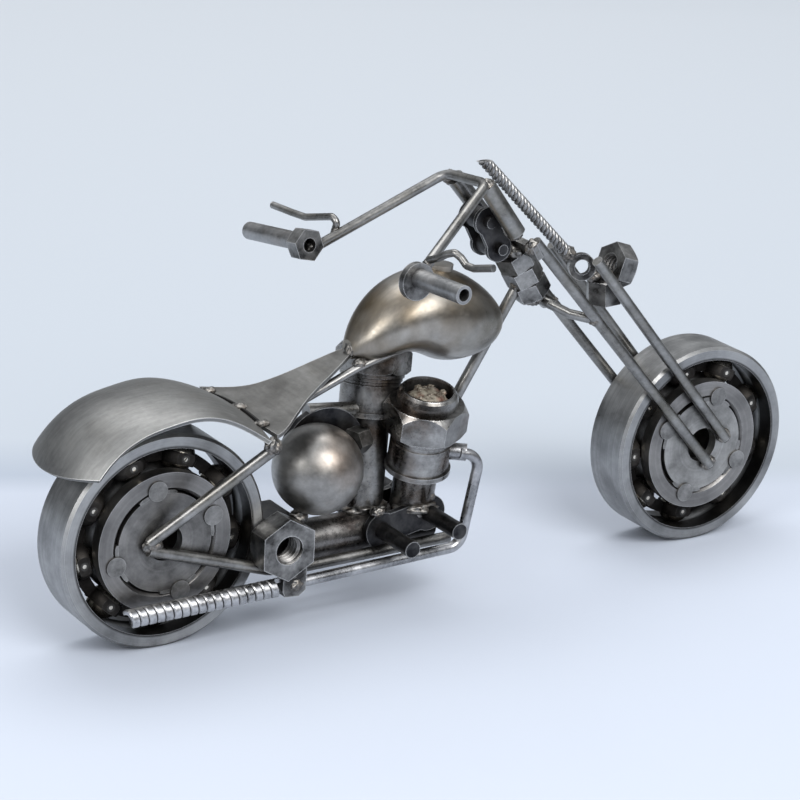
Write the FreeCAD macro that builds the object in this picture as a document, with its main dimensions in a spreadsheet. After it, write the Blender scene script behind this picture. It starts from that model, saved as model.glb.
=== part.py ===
"""Desk-top motorcycle welded from bearings, nuts, rods and sheet steel, as a parametric FreeCAD document.

Frame: X forward, Y to the rider's left, Z up, millimetres. The origin is where the rear wheel
meets the ground, on the middle plane.
"""
import FreeCAD, Part
import Sketcher
import math
import os

from FreeCAD import Placement, Rotation, Vector

doc = FreeCAD.newDocument("motorcycle")

X_AXIS = Vector(1, 0, 0)
Y_AXIS = Vector(0, 1, 0)
Z_AXIS = Vector(0, 0, 1)

# ---------------------------------------------------------------- driving dimensions

SIZES = [
    ("bearing_outside", 62.0, "outside diameter of the wheel bearings"),
    ("bearing_bore", 30.0, "bore of the inner ring"),
    ("bearing_width", 16.0, "width of both rings"),
    ("outer_shoulder", 54.0, "inside diameter of the outer ring beside its groove"),
    ("inner_shoulder", 40.4, "outside diameter of the inner ring beside its groove"),
    ("ring_chamfer", 0.8, "edge break on the rings"),
    ("ball_size", 9.525, "bearing ball diameter"),
    ("ball_circle", 46.0, "diameter of the circle of ball centres"),
    ("ball_count", 9, "balls in one bearing"),
    ("groove_radius", 4.95, "radius of the raceway grooves"),
    ("running_gap", 0.04, "gap between a ball and each groove or pocket"),
    ("cage_inside", 42.6, "inside diameter of the ribbon cage"),
    ("cage_outside", 49.4, "outside diameter of the ribbon cage"),
    ("cage_ribbon", 1.8, "thickness of the two riveted ribbons between the balls"),
    ("cage_pocket_wall", 0.7, "thickness of the ribbon around a ball"),
    ("wheelbase", 185.0, "distance between the wheel centres"),
    ("hub_plate_size", 28.6, "diameter of the discs that fill the bore"),
    ("hub_plate_gauge", 3.0, "thickness of the hub discs"),
    ("hub_hole", 10.6, "hole in the hub discs"),
    ("tack_size", 5.8, "diameter of one tack weld on the hub"),
    ("tack_circle", 31.2, "diameter of the circle of tack welds"),
    ("tack_height", 0.5, "height of a tack above the ring face"),
    ("sheet_gauge", 1.2, "thickness of the fender and seat sheet"),
    ("frame_rod", 3.3, "diameter of the frame and fork rods"),
    ("backbone_rod", 2.5, "diameter of the backbone rod"),
    ("bar_rod", 2.9, "diameter of the handlebar rod"),
    ("lever_rod", 2.1, "diameter of the lever wire"),
    ("exhaust_rod", 3.2, "diameter of the exhaust rod"),
    ("riser_size", 5.3, "diameter of the handlebar risers"),
    ("grip_outside", 5.2, "outside diameter of the grip tubes"),
    ("grip_bore", 3.4, "bore of the grip tubes"),
    ("bar_washer_outside", 10.4, "diameter of the washer on the right end of the bar"),
    ("bar_washer_bore", 3.2, "hole of that washer"),
    ("bar_washer_gauge", 2.0, "thickness of that washer"),
    ("bar_nut_flats", 8.5, "across flats of the nut on the left end of the bar"),
    ("bar_nut_height", 5.0, "height of that nut"),
    ("bar_nut_bore", 4.0, "threaded hole of that nut, at the crests"),
    ("strap_width", 4.8, "width of the strap across the fork"),
    ("strap_length", 25.2, "length of that strap"),
    ("strap_gauge", 2.0, "thickness of that strap"),
    ("crankcase_size", 12.2, "diameter of the crankcase bar"),
    ("gearbox_height", 15.4, "height of the block behind the crankcase"),
    ("cap_size", 8.0, "diameter of the filler cap"),
    ("air_ball", 26.0, "diameter of the steel ball beside the engine"),
    ("ball_washer_outside", 27.0, "outside diameter of the washer behind the ball"),
    ("ball_washer_bore", 13.0, "bore of that washer"),
    ("ball_washer_gauge", 2.4, "thickness of that washer"),
    ("intake_size", 4.6, "diameter of the short rod above the ball"),
    ("small_nut_flats", 7.0, "across flats of the small nut beside the ball"),
    ("small_nut_height", 6.0, "height of that nut"),
    ("small_nut_bore", 3.3, "threaded hole of that nut, at the crests"),
    ("port_size", 5.0, "diameter of the exhaust port stub"),
    ("hanger_gauge", 3.4, "thickness of the exhaust hanger plate"),
    ("side_nut_flats", 16.0, "across flats of the big side nut"),
    ("side_nut_height", 8.0, "height of the big side nut"),
    ("side_nut_bore", 8.4, "threaded hole of the big side nut, at the crests"),
    ("head_nut_flats", 10.0, "across flats of the steering-head nuts"),
    ("head_nut_height", 5.4, "height of one steering-head nut"),
    ("head_nut_bore", 5.0, "threaded hole of the steering-head nuts, at the crests"),
    ("headlight_flats", 12.0, "across flats of the headlight nut"),
    ("headlight_height", 5.6, "height of the headlight nut"),
    ("headlight_bore", 6.4, "threaded hole of the headlight nut, at the crests"),
    ("stem_nut_flats", 9.5, "across flats of the nut below the headlight"),
    ("stem_nut_height", 7.2, "height of that nut"),
    ("stem_nut_bore", 4.8, "threaded hole of that nut, at the crests"),
    ("lamp_ring_outside", 8.0, "outside diameter of the ring behind the headlight"),
    ("lamp_ring_bore", 4.4, "bore of that ring"),
    ("lamp_ring_gauge", 3.0, "thickness of that ring"),
    ("front_plug_flats", 21.6, "across flats of the front spark-plug shell"),
    ("rear_plug_flats", 19.2, "across flats of the rear spark-plug shell"),
    ("plug_thread", 12.6, "diameter of the spark-plug thread"),
    ("plug_body", 17.8, "diameter of the round body under the hexagon"),
    ("plug_rim", 17.7, "diameter of the crimped rim above the hexagon"),
    ("plug_bowl", 14.0, "bore of the open top of the shell"),
    ("gasket_size", 19.2, "diameter of the plug gaskets"),
    ("gasket_bore", 12.7, "bore of the plug gaskets"),
    ("peg_pitch", 15.875, "pitch of the chain plates used as foot pegs"),
    ("peg_plate_height", 10.8, "height of those plates"),
    ("peg_plate_gauge", 1.9, "thickness of those plates"),
    ("peg_pin", 4.9, "diameter of the foot-peg pins"),
    ("link_pitch", 9.525, "pitch of the small chain link at the steering head"),
    ("link_plate_height", 8.2, "height of its plates"),
    ("link_plate_gauge", 1.3, "thickness of its plates"),
    ("link_roller", 6.35, "diameter of its rollers"),
    ("link_pin", 3.28, "diameter of its pins"),
    ("rope_strand", 1.6, "diameter of one strand of the twisted rope"),
    ("rope_lay", 5.0, "length in which a strand goes once round"),
    ("casing_outside", 5.3, "outside diameter of the coiled muffler casing"),
    ("casing_bore", 2.7, "bore of the coiled muffler casing"),
    ("casing_pitch", 2.55, "pitch of the coiled flat wire"),
    ("casing_gap", 0.22, "gap between two turns of the flat wire"),
]

sheet = doc.addObject("Spreadsheet::Sheet", "Sizes")
for row, (alias, value, note) in enumerate(SIZES, start=1):
    sheet.set(f"A{row}", alias)
    sheet.set(f"B{row}", str(value))
    sheet.set(f"C{row}", note)
    sheet.setAlias(f"B{row}", alias)
doc.recompute()


def size(alias):
    """Value of one driving dimension."""
    return float(getattr(sheet, alias))


# ---------------------------------------------------------------- helpers

pieces = {}


def keep(thing, label):
    """Register a sub-part under the name of its file."""
    thing.Label = label
    pieces[label] = thing
    return thing


def aim(origin, axis, turn=0.0):
    """Placement at origin whose local Z points along axis, turned about that axis by turn degrees."""
    return Placement(origin, Rotation(Z_AXIS, axis).multiply(Rotation(Z_AXIS, turn)))


def bound(kind, name, placement=None, **expressions):
    """Document object whose properties follow expressions over the sheet."""
    thing = doc.addObject(kind, name)
    for key, expression in expressions.items():
        thing.setExpression(key, expression)
    if placement is not None:
        thing.Placement = placement
    return thing


def cut(name, base, tool):
    thing = doc.addObject("Part::Cut", name)
    thing.Base = base
    thing.Tool = tool
    return thing


def common(name, base, tool):
    thing = doc.addObject("Part::Common", name)
    thing.Base = base
    thing.Tool = tool
    return thing


def group(name, members):
    """Separate solids kept side by side in one object."""
    thing = doc.addObject("Part::Compound", name)
    thing.Links = members
    return thing


def fused(name, members):
    thing = doc.addObject("Part::MultiFuse", name)
    thing.Shapes = members
    return thing


def shaped(name, shape):
    """Part::Feature for a free shape that neither sketches nor primitives describe."""
    thing = doc.addObject("Part::Feature", name)
    thing.Shape = shape
    return thing


def notched(label, raw, *neighbours):
    """Piece whose end is fitted to the neighbours it is welded to."""
    tool = neighbours[0] if len(neighbours) == 1 else group(label + "_fit", list(neighbours))
    return keep(cut(label + "_notched", raw, tool), label)


def plane_of(body, role):
    return next(feature for feature in body.Origin.OriginFeatures if feature.Role == role)


def new_sketch(body, name, role):
    sketch = body.newObject("Sketcher::SketchObject", name)
    sketch.AttachmentSupport = [(plane_of(body, role), "")]
    sketch.MapMode = "FlatFace"
    return sketch


def add_circle(sketch, radius, x_at=None, y_at=None):
    """Circle whose radius follows an expression; x_at and y_at are expressions too, or None for zero."""
    start = Vector(0 if x_at is None else sketch.evalExpression(x_at),
                   0 if y_at is None else sketch.evalExpression(y_at), 0)
    edge = sketch.addGeometry(Part.Circle(start, Z_AXIS, sketch.evalExpression(radius)), False)
    for kind, axis, place in (("DistanceX", -2, x_at), ("DistanceY", -1, y_at)):
        if place is None:
            sketch.addConstraint(Sketcher.Constraint("PointOnObject", edge, 3, axis))
        else:
            value = sketch.evalExpression(place)
            bind(sketch, Sketcher.Constraint(kind, -1, 1, edge, 3, value), place)
    bind(sketch, Sketcher.Constraint("Radius", edge, sketch.evalExpression(radius)), radius)
    return edge


def bind(sketch, constraint, expression):
    rule = sketch.addConstraint(constraint)
    sketch.setExpression(f"Constraints[{rule}]", expression)


def add_outline(sketch, corners):
    """Closed straight-sided outline through corners."""
    points = [Vector(x, y, 0) for x, y in corners]
    first = sketch.GeometryCount
    count = len(points)
    for index, point in enumerate(points):
        sketch.addGeometry(Part.LineSegment(point, points[(index + 1) % count]), False)
    for index in range(count):
        following = first + (index + 1) % count
        sketch.addConstraint(Sketcher.Constraint("Coincident", first + index, 2, following, 1))
    return first


def add_hexagon(sketch, flats):
    """Regular hexagon round the origin whose width across flats follows an expression."""
    corner = 5.0
    points = [(corner * math.cos(math.radians(60 * k)), corner * math.sin(math.radians(60 * k))) for k in range(6)]
    first = add_outline(sketch, points)
    ring = sketch.addGeometry(Part.Circle(Vector(), Z_AXIS, corner), True)
    sketch.addConstraint(Sketcher.Constraint("Coincident", ring, 3, -1, 1))
    for index in range(6):
        sketch.addConstraint(Sketcher.Constraint("PointOnObject", first + index, 1, ring))
    for index in range(1, 6):
        sketch.addConstraint(Sketcher.Constraint("Equal", first, first + index))
    sketch.addConstraint(Sketcher.Constraint("PointOnObject", first, 1, -1))
    bind(sketch, Sketcher.Constraint("Radius", ring, corner), f"{flats} / sqrt(3)")


def add_pad(body, sketch, length, name, midplane=False):
    pad = body.newObject("PartDesign::Pad", name)
    pad.Profile = sketch
    pad.SideType = "Symmetric" if midplane else "One side"
    pad.setExpression("Length", length)
    body.Tip = pad
    return pad


def add_bore(body, radius, name, x_at=None, y_at=None):
    """Round hole right through a body, along its local Z."""
    sketch = new_sketch(body, name + "_sketch", "XY_Plane")
    add_circle(sketch, radius, x_at, y_at)
    bore = body.newObject("PartDesign::Pocket", name)
    bore.Profile = sketch
    bore.Type = "ThroughAll"
    bore.SideType = "Symmetric"
    body.Tip = bore
    return bore


def add_section(sketch, corners):
    """Closed outline whose corners follow pairs of expressions, none of which is zero."""
    points = [(sketch.evalExpression(x), sketch.evalExpression(y)) for x, y in corners]
    first = add_outline(sketch, points)
    for index, (x, y) in enumerate(corners):
        edge = first + index
        bind(sketch, Sketcher.Constraint("DistanceX", -1, 1, edge, 1, points[index][0]), x)
        bind(sketch, Sketcher.Constraint("DistanceY", -1, 1, edge, 1, points[index][1]), y)


def turned(name, corners):
    """Body of revolution about its local Z; corners are (radius, height) expressions."""
    body = doc.addObject("PartDesign::Body", name)
    sketch = new_sketch(body, name + "_section", "XZ_Plane")
    add_section(sketch, corners)
    solid = body.newObject("PartDesign::Revolution", name + "_turned")
    solid.Profile = sketch
    solid.ReferenceAxis = (sketch, ["V_Axis"])
    solid.Angle = 360
    body.Tip = solid
    return body


def add_groove(body, name, radius, centre_radius):
    """Round groove turned into a body at its mid height."""
    sketch = new_sketch(body, name + "_sketch", "XZ_Plane")
    add_circle(sketch, radius, centre_radius)
    groove = body.newObject("PartDesign::Groove", name)
    groove.Profile = sketch
    groove.ReferenceAxis = (sketch, ["V_Axis"])
    groove.Angle = 360
    body.Tip = groove


def hex_nut(name, placement, flats, height, bore):
    """Hexagon nut with chamfered corners, its base on the local XY plane."""
    body = doc.addObject("PartDesign::Body", name)
    sketch = new_sketch(body, name + "_hexagon", "XY_Plane")
    add_hexagon(sketch, flats)
    add_pad(body, sketch, height, name + "_pad")
    corner = f"{flats} / sqrt(3)"
    chamfer = f"({corner} - {flats} / 2)"
    rise = f"{chamfer} * 0.6"
    cutter = new_sketch(body, name + "_corner_cut", "XZ_Plane")
    add_section(cutter, [
        (f"{flats} / 2 * 0.98", f"{height}"),
        (f"{corner} * 1.1", f"{height}"),
        (f"{corner} * 1.1", f"{height} - {rise} * 1.4"),
    ])
    crown = body.newObject("PartDesign::Groove", name + "_crown")
    crown.Profile = cutter
    crown.ReferenceAxis = (cutter, ["V_Axis"])
    crown.Angle = 360
    body.Tip = crown
    add_bore(body, f"{bore} / 2", name + "_bore")
    body.Placement = placement
    return body


def rounded_path(points, bend):
    """Wire through points whose corners are replaced by arcs of radius bend."""
    edges = []
    start = points[0]
    for corner, after in zip(points[1:-1], points[2:]):
        inward = (corner - start).normalize()
        outward = (after - corner).normalize()
        half_turn = inward.getAngle(outward) / 2
        back = bend * math.tan(half_turn)
        arc_start = corner - inward * back
        arc_end = corner + outward * back
        to_centre = (outward - inward).normalize()
        arc_middle = corner + to_centre * (bend / math.cos(half_turn) - bend)
        edges.append(Part.LineSegment(start, arc_start).toShape())
        edges.append(Part.Arc(arc_start, arc_middle, arc_end).toShape())
        start = arc_end
    edges.append(Part.LineSegment(start, points[-1]).toShape())
    return Part.Wire(edges)


def bent_rod(name, points, diameter, bend=4.0):
    """Round rod swept along a path with rounded bends; its diameter follows an expression."""
    points = [Vector(*point) for point in points]
    spine = shaped(name + "_spine", rounded_path(points, bend))
    section = bound("Part::Circle", name + "_section", aim(points[0], points[1] - points[0]),
                    Radius=f"{diameter} / 2")
    rod = doc.addObject("Part::Sweep", name + "_rod")
    rod.Sections = [section]
    rod.Spine = (spine, [f"Edge{number + 1}" for number in range(len(spine.Shape.Edges))])
    rod.Solid = True
    rod.Frenet = False
    return rod


def straight_rod(name, start, end, diameter):
    """Round bar between two points; its diameter follows an expression."""
    start = Vector(*start)
    end = Vector(*end)
    bar = bound("Part::Cylinder", name, aim(start, end - start), Radius=f"{diameter} / 2")
    bar.Height = (end - start).Length
    return bar


def tube(name, placement, outside, bore, length):
    """Straight tube along its local Z."""
    outer = bound("Part::Cylinder", name + "_outside", placement, Radius=f"{outside} / 2", Height=length)
    inner = bound("Part::Cylinder", name + "_inside", placement, Radius=f"{bore} / 2", Height=length)
    return cut(name + "_tube", outer, inner)


def mirrored(points):
    """The same path on the other side of the middle plane."""
    return [(x, -y, z) for x, y, z in points]


# ---------------------------------------------------------------- wheels

WHEEL_RADIUS = size("bearing_outside") / 2
HALF_WIDTH = size("bearing_width") / 2
REAR_HUB = Vector(0, 0, WHEEL_RADIUS)
FRONT_HUB = Vector(size("wheelbase"), 0, WHEEL_RADIUS)
BALL_TURN = {"rear": 31.0, "front": 24.0}
TACK_ANGLES = {"rear": (100, 21, -72, -163), "front": (73, -26, -110, 154)}
TACK_DEPTH = 2.0


def bearing_ring(name, inside, outside, chamfered_outside, groove_centre, placement):
    """One ring of a deep-groove ball bearing."""
    half = "Sizes.bearing_width / 2"
    edge = "Sizes.ring_chamfer"
    if chamfered_outside:
        corners = [
            (inside, f"-{half}"),
            (f"{outside} - {edge}", f"-{half}"),
            (outside, f"-{half} + {edge}"),
            (outside, f"{half} - {edge}"),
            (f"{outside} - {edge}", half),
            (inside, half),
        ]
    else:
        corners = [
            (f"{inside} + {edge}", f"-{half}"),
            (outside, f"-{half}"),
            (outside, half),
            (f"{inside} + {edge}", half),
            (inside, f"{half} - {edge}"),
            (inside, f"-{half} + {edge}"),
        ]
    body = turned(name, corners)
    add_groove(body, name + "_raceway", "Sizes.groove_radius", groove_centre)
    body.Placement = placement
    return keep(body, name)


def ball_places(placement, turn):
    """Places of the ball centres round a wheel."""
    count = int(size("ball_count"))
    radius = size("ball_circle") / 2
    angles = [math.radians(turn + 360 * index / count) for index in range(count)]
    return [placement.multVec(Vector(radius * math.cos(a), radius * math.sin(a), 0)) for a in angles]


def bearing_balls(name, places):
    balls = [bound("Part::Sphere", f"{name}_{index}", Placement(place, Rotation()), Radius="Sizes.ball_size / 2")
             for index, place in enumerate(places, start=1)]
    return keep(group(name + "_set", balls), name)


def bearing_cage(name, placement, places):
    """Ribbon cage: two pressed ribbons, flat between the balls and domed round each ball."""
    low = placement.multiply(Placement(Z_AXIS * (-size("ball_size") / 2), Rotation()))
    blank = tube(name + "_blank", low, "Sizes.cage_outside", "Sizes.cage_inside", "Sizes.ball_size")
    pocket = "Sizes.ball_size / 2 + Sizes.running_gap"
    domes = [bound("Part::Sphere", f"{name}_dome_{index}", Placement(place, Rotation()),
                   Radius=f"{pocket} + Sizes.cage_pocket_wall")
             for index, place in enumerate(places, start=1)]
    flat_place = placement.multiply(Placement(Z_AXIS * (-size("cage_ribbon") / 2), Rotation()))
    flat = bound("Part::Cylinder", name + "_flat", flat_place, Radius="Sizes.cage_outside / 2",
                 Height="Sizes.cage_ribbon")
    ribbon = common(name + "_ribbon", blank, fused(name + "_form", [flat] + domes))
    pockets = [bound("Part::Sphere", f"{name}_pocket_{index}", Placement(place, Rotation()), Radius=pocket)
               for index, place in enumerate(places, start=1)]
    return keep(cut(name + "_pierced", ribbon, group(name + "_pockets", pockets)), name)


def hub_plates(name, placement):
    """Two discs that fill the bore, flush with the ring faces, each with a centre hole."""
    discs = []
    for side, height in (("right", HALF_WIDTH - size("hub_plate_gauge")), ("left", -HALF_WIDTH)):
        body = doc.addObject("PartDesign::Body", f"{name}_{side}")
        sketch = new_sketch(body, f"{name}_{side}_disc", "XY_Plane")
        add_circle(sketch, "Sizes.hub_plate_size / 2")
        add_circle(sketch, "Sizes.hub_hole / 2")
        add_pad(body, sketch, "Sizes.hub_plate_gauge", f"{name}_{side}_pad")
        body.Placement = placement.multiply(Placement(Vector(0, 0, height), Rotation()))
        discs.append(body)
    return keep(group(name + "_pair", discs), name)


def tack_welds(wheel, placement, ring, plates):
    """Four flat round tacks a side that join the hub discs to the inner ring."""
    blobs = []
    for side in (1, -1):
        for index, angle in enumerate(TACK_ANGLES[wheel], start=1):
            radius = size("tack_circle") / 2
            x_at = radius * math.cos(math.radians(angle))
            y_at = radius * math.sin(math.radians(angle))
            z_at = HALF_WIDTH - TACK_DEPTH if side > 0 else -HALF_WIDTH - size("tack_height")
            spot = bound("Part::Cylinder", f"{wheel}_tack_{'right' if side > 0 else 'left'}_{index}",
                         Radius="Sizes.tack_size / 2", Height=f"Sizes.tack_height + {TACK_DEPTH}")
            spot.Placement = placement.multiply(Placement(Vector(x_at, y_at, z_at), Rotation()))
            blobs.append(spot)
    fit = group(wheel + "_tack_fit", [ring, plates])
    return [cut(f"{spot.Name}_fitted", spot, fit) for spot in blobs]


def wheel(side, hub):
    """A ball bearing used as a wheel. Local Z points to the rider's right (-Y)."""
    placement = Placement(hub, Rotation(X_AXIS, 90))
    balls = "Sizes.ball_circle / 2"
    ball = "Sizes.ball_size / 2"
    bearing_ring(f"{side}_outer_ring", "Sizes.outer_shoulder / 2", "Sizes.bearing_outside / 2", True,
                 f"{balls} + {ball} + Sizes.running_gap - Sizes.groove_radius", placement)
    ring = bearing_ring(f"{side}_inner_ring", "Sizes.bearing_bore / 2", "Sizes.inner_shoulder / 2", False,
                        f"{balls} - {ball} - Sizes.running_gap + Sizes.groove_radius", placement)
    places = ball_places(placement, BALL_TURN[side])
    bearing_balls(f"{side}_balls", places)
    bearing_cage(f"{side}_cage", placement, places)
    plates = hub_plates(f"{side}_hub_plates", placement)
    return tack_welds(side, placement, ring, plates)


tacks = wheel("rear", REAR_HUB) + wheel("front", FRONT_HUB)
keep(group("hub_tacks", tacks), "hub_tack_welds")


# ---------------------------------------------------------------- steering head and down tube

HEAD_AXIS = Vector(0.54, 0, -0.842).normalize()
HEAD_TOP = Vector(114.6, 0, 98.4)
HEAD_NUT_COUNT = 3
HEAD_NUT_TURN = 14
STEM_REACH = 1.2
DOWN_TUBE = [(118.4, -0.4, 89.8), (85.5, 6.2, 26.0)]


def steering_head():
    """Three hexagon nuts in line, with a stem through them."""
    nuts = []
    for index in range(HEAD_NUT_COUNT):
        place = HEAD_TOP + HEAD_AXIS * (size("head_nut_height") * index)
        nuts.append(hex_nut(f"head_nut_{index + 1}", aim(place, HEAD_AXIS, 8 + HEAD_NUT_TURN * index),
                            "Sizes.head_nut_flats", "Sizes.head_nut_height", "Sizes.head_nut_bore"))
    keep(group("head_nut_stack", nuts), "steering_head_nuts")
    length = size("head_nut_height") * HEAD_NUT_COUNT
    start = HEAD_TOP - HEAD_AXIS * STEM_REACH
    end = HEAD_TOP + HEAD_AXIS * (length + STEM_REACH)
    keep(straight_rod("steering_stem_rod", start, end, "Sizes.head_nut_bore"), "steering_stem")


def chain_plate(name, pitch, height, gauge, hole, placement):
    """Figure-eight chain plate with two holes, its base on the local XY plane."""
    body = doc.addObject("PartDesign::Body", name)
    lobes = []
    for index, sign in enumerate(("-", "")):
        sketch = new_sketch(body, f"{name}_lobe_{index + 1}", "XY_Plane")
        add_circle(sketch, f"{height} / 2", f"{sign}{pitch} / 2")
        lobes.append(sketch)
    waist = new_sketch(body, name + "_waist", "XY_Plane")
    add_section(waist, [
        (f"-{pitch} / 2", f"-{height} * 0.4"),
        (f"{pitch} / 2", f"-{height} * 0.4"),
        (f"{pitch} / 2", f"{height} * 0.4"),
        (f"-{pitch} / 2", f"{height} * 0.4"),
    ])
    add_pad(body, waist, gauge, name + "_bar")
    for index, sketch in enumerate(lobes, start=1):
        add_pad(body, sketch, gauge, f"{name}_lobe_pad_{index}")
    for index, sign in enumerate(("-", ""), start=1):
        add_bore(body, f"{hole} / 2", f"{name}_hole_{index}", f"{sign}{pitch} / 2")
    body.Placement = placement
    return body


LINK_UPPER = Vector(102.6, 0, 109.6)
LINK_AXIS = Vector(0.48, 0, -0.877).normalize()
LINK_HALF_WIDTH = 6.6
LINK_INNER = 3.2
LINK_CLEARANCE = 0.1


def steering_link():
    """Short roller-chain link, welded between the risers and the steering head."""
    pitch = size("link_pitch")
    middle = LINK_UPPER + LINK_AXIS * (pitch / 2)
    flat_to_side = Rotation(LINK_AXIS, Vector(), Y_AXIS, "ZXY")
    plates = []
    for index, low in enumerate((-LINK_INNER - size("link_plate_gauge"), LINK_INNER), start=1):
        plates.append(chain_plate(f"link_plate_{index}", "Sizes.link_pitch", "Sizes.link_plate_height",
                                  "Sizes.link_plate_gauge", "Sizes.link_pin",
                                  Placement(middle + Y_AXIS * low, flat_to_side)))
    keep(group("link_plate_pair", plates), "steering_link_plates")
    rollers = []
    pins = []
    half_roller = LINK_INNER - LINK_CLEARANCE
    for index, shift in enumerate((-pitch / 2, pitch / 2), start=1):
        here = middle + LINK_AXIS * shift
        rollers.append(tube(f"link_roller_{index}", aim(here - Y_AXIS * half_roller, Y_AXIS),
                            "Sizes.link_roller", "Sizes.link_pin", f"{2 * half_roller}"))
        pins.append(straight_rod(f"link_pin_{index}", here - Y_AXIS * LINK_HALF_WIDTH,
                                 here + Y_AXIS * LINK_HALF_WIDTH, "Sizes.link_pin"))
    keep(group("link_roller_pair", rollers), "steering_link_rollers")
    keep(group("link_pin_pair", pins), "steering_link_pins")


steering_head()
steering_link()
down_tube_bar = straight_rod("down_tube_bar", *DOWN_TUBE, "Sizes.frame_rod")


# ---------------------------------------------------------------- fuel tank

# X, lowest Z, highest Z, half width
TANK_SECTIONS = [
    (60.6, 73.0, 78.6, 2.8),
    (64.5, 72.4, 84.8, 7.0),
    (71.0, 72.8, 91.4, 10.8),
    (79.0, 73.4, 95.4, 13.0),
    (88.0, 70.0, 96.6, 13.8),
    (96.0, 69.0, 94.6, 13.2),
    (103.0, 70.4, 90.4, 11.0),
    (107.5, 73.2, 86.2, 7.8),
    (110.0, 77.0, 82.0, 3.6),
]
CAP_FOOT = (90.0, 0.4, 93.0)
CAP_TOP = (90.3, 0.4, 97.5)


def tank_section(x, low, high, half_width):
    """Elliptical section of the tank, upright in the plane at x."""
    half_height = (high - low) / 2
    wide = half_width >= half_height
    ellipse = Part.Ellipse(Vector(), max(half_width, half_height), min(half_width, half_height))
    wire = Part.Wire(ellipse.toShape())
    upright = Rotation(Y_AXIS, Z_AXIS, X_AXIS, "XYZ") if wide else Rotation(Z_AXIS, -Y_AXIS, X_AXIS, "XYZ")
    wire.Placement = Placement(Vector(x, 0, (high + low) / 2), upright)
    return wire


def fuel_tank():
    """Smooth teardrop tank, blunt in front and drawn to a small tail at the seat, with a low round cap."""
    sections = [tank_section(*section) for section in TANK_SECTIONS]
    blank = shaped("fuel_tank_form", Part.makeLoft(sections, True))
    notched("fuel_tank", blank, down_tube_bar)
    stub = straight_rod("filler_cap_disc", CAP_FOOT, CAP_TOP, "Sizes.cap_size")
    notched("filler_cap", stub, pieces["fuel_tank"])


fuel_tank()


# ---------------------------------------------------------------- rear fender and seat

# angle round the rear hub, crown radius, half width, radius of the crowned section
FENDER_STATIONS = [
    (52, 41.4, 22.6, 95),
    (64, 41.5, 19.4, 70),
    (80, 41.6, 18.2, 62),
    (96, 41.8, 18.0, 42),
    (112, 43.0, 18.0, 32),
    (128, 43.0, 18.2, 29),
    (147, 40.6, 18.8, 36),
]
FENDER_TAIL_ANGLE = 144.4
FENDER_TAIL_RADIUS = 41.0
FENDER_TAIL_ROUND = 31.0


def round_hub(angle):
    """Unit vector away from the rear hub at angle, in the middle plane."""
    return Vector(math.cos(math.radians(angle)), 0, math.sin(math.radians(angle)))


def fender_section(angle, crown, half_width, section_radius):
    """Crowned strip section in the plane through the rear hub at angle."""
    outward = round_hub(angle)
    centre = REAR_HUB + outward * (crown - section_radius)
    half_angle = math.asin(half_width / section_radius)

    def point(radius, share):
        turn = half_angle * share
        return centre + outward * (radius * math.cos(turn)) + Y_AXIS * (radius * math.sin(turn))

    under = section_radius - size("sheet_gauge")
    return Part.Wire([
        Part.Arc(point(section_radius, -1), point(section_radius, 0), point(section_radius, 1)).toShape(),
        Part.LineSegment(point(section_radius, 1), point(under, 1)).toShape(),
        Part.Arc(point(under, 1), point(under, 0), point(under, -1)).toShape(),
        Part.LineSegment(point(under, -1), point(section_radius, -1)).toShape(),
    ])


def rear_fender():
    """Crowned sheet that covers the rear wheel and ends in a rounded tail."""
    sheet_shape = Part.makeLoft([fender_section(*station) for station in FENDER_STATIONS], True)
    outward = round_hub(FENDER_TAIL_ANGLE)
    along = round_hub(FENDER_TAIL_ANGLE + 90)
    reach = FENDER_TAIL_RADIUS
    centre = REAR_HUB + outward * (FENDER_TAIL_RADIUS / 2) - along * FENDER_TAIL_ROUND
    beyond = Part.makeBox(reach, 2 * reach, reach, Vector(0, -reach, 0))
    beyond.Placement = Placement(centre, Rotation(along, -Y_AXIS, outward, "XYZ"))
    tail = Part.makeCylinder(FENDER_TAIL_ROUND, reach, centre, outward)
    return keep(shaped("rear_fender_sheet", sheet_shape.cut(beyond.cut(tail))), "rear_fender")


SEAT_LOW_Z = 62.8
SEAT_FLAT_END_X = 33.6
SEAT_TIP = Vector(60.6, 0, 75.6)
SEAT_BEND = 28.0
SEAT_OVERRUN = 4.0
# half width of the seat at distances along X, from the back edge to the tip
SEAT_PLAN = [(25.9, 22.0), (29.5, 19.6), (37.0, 13.2), (44.0, 8.9), (52.0, 5.8), (60.6, 2.2)]


def spline(points):
    curve = Part.BSplineCurve()
    curve.interpolate(points)
    return curve.toShape()


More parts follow.
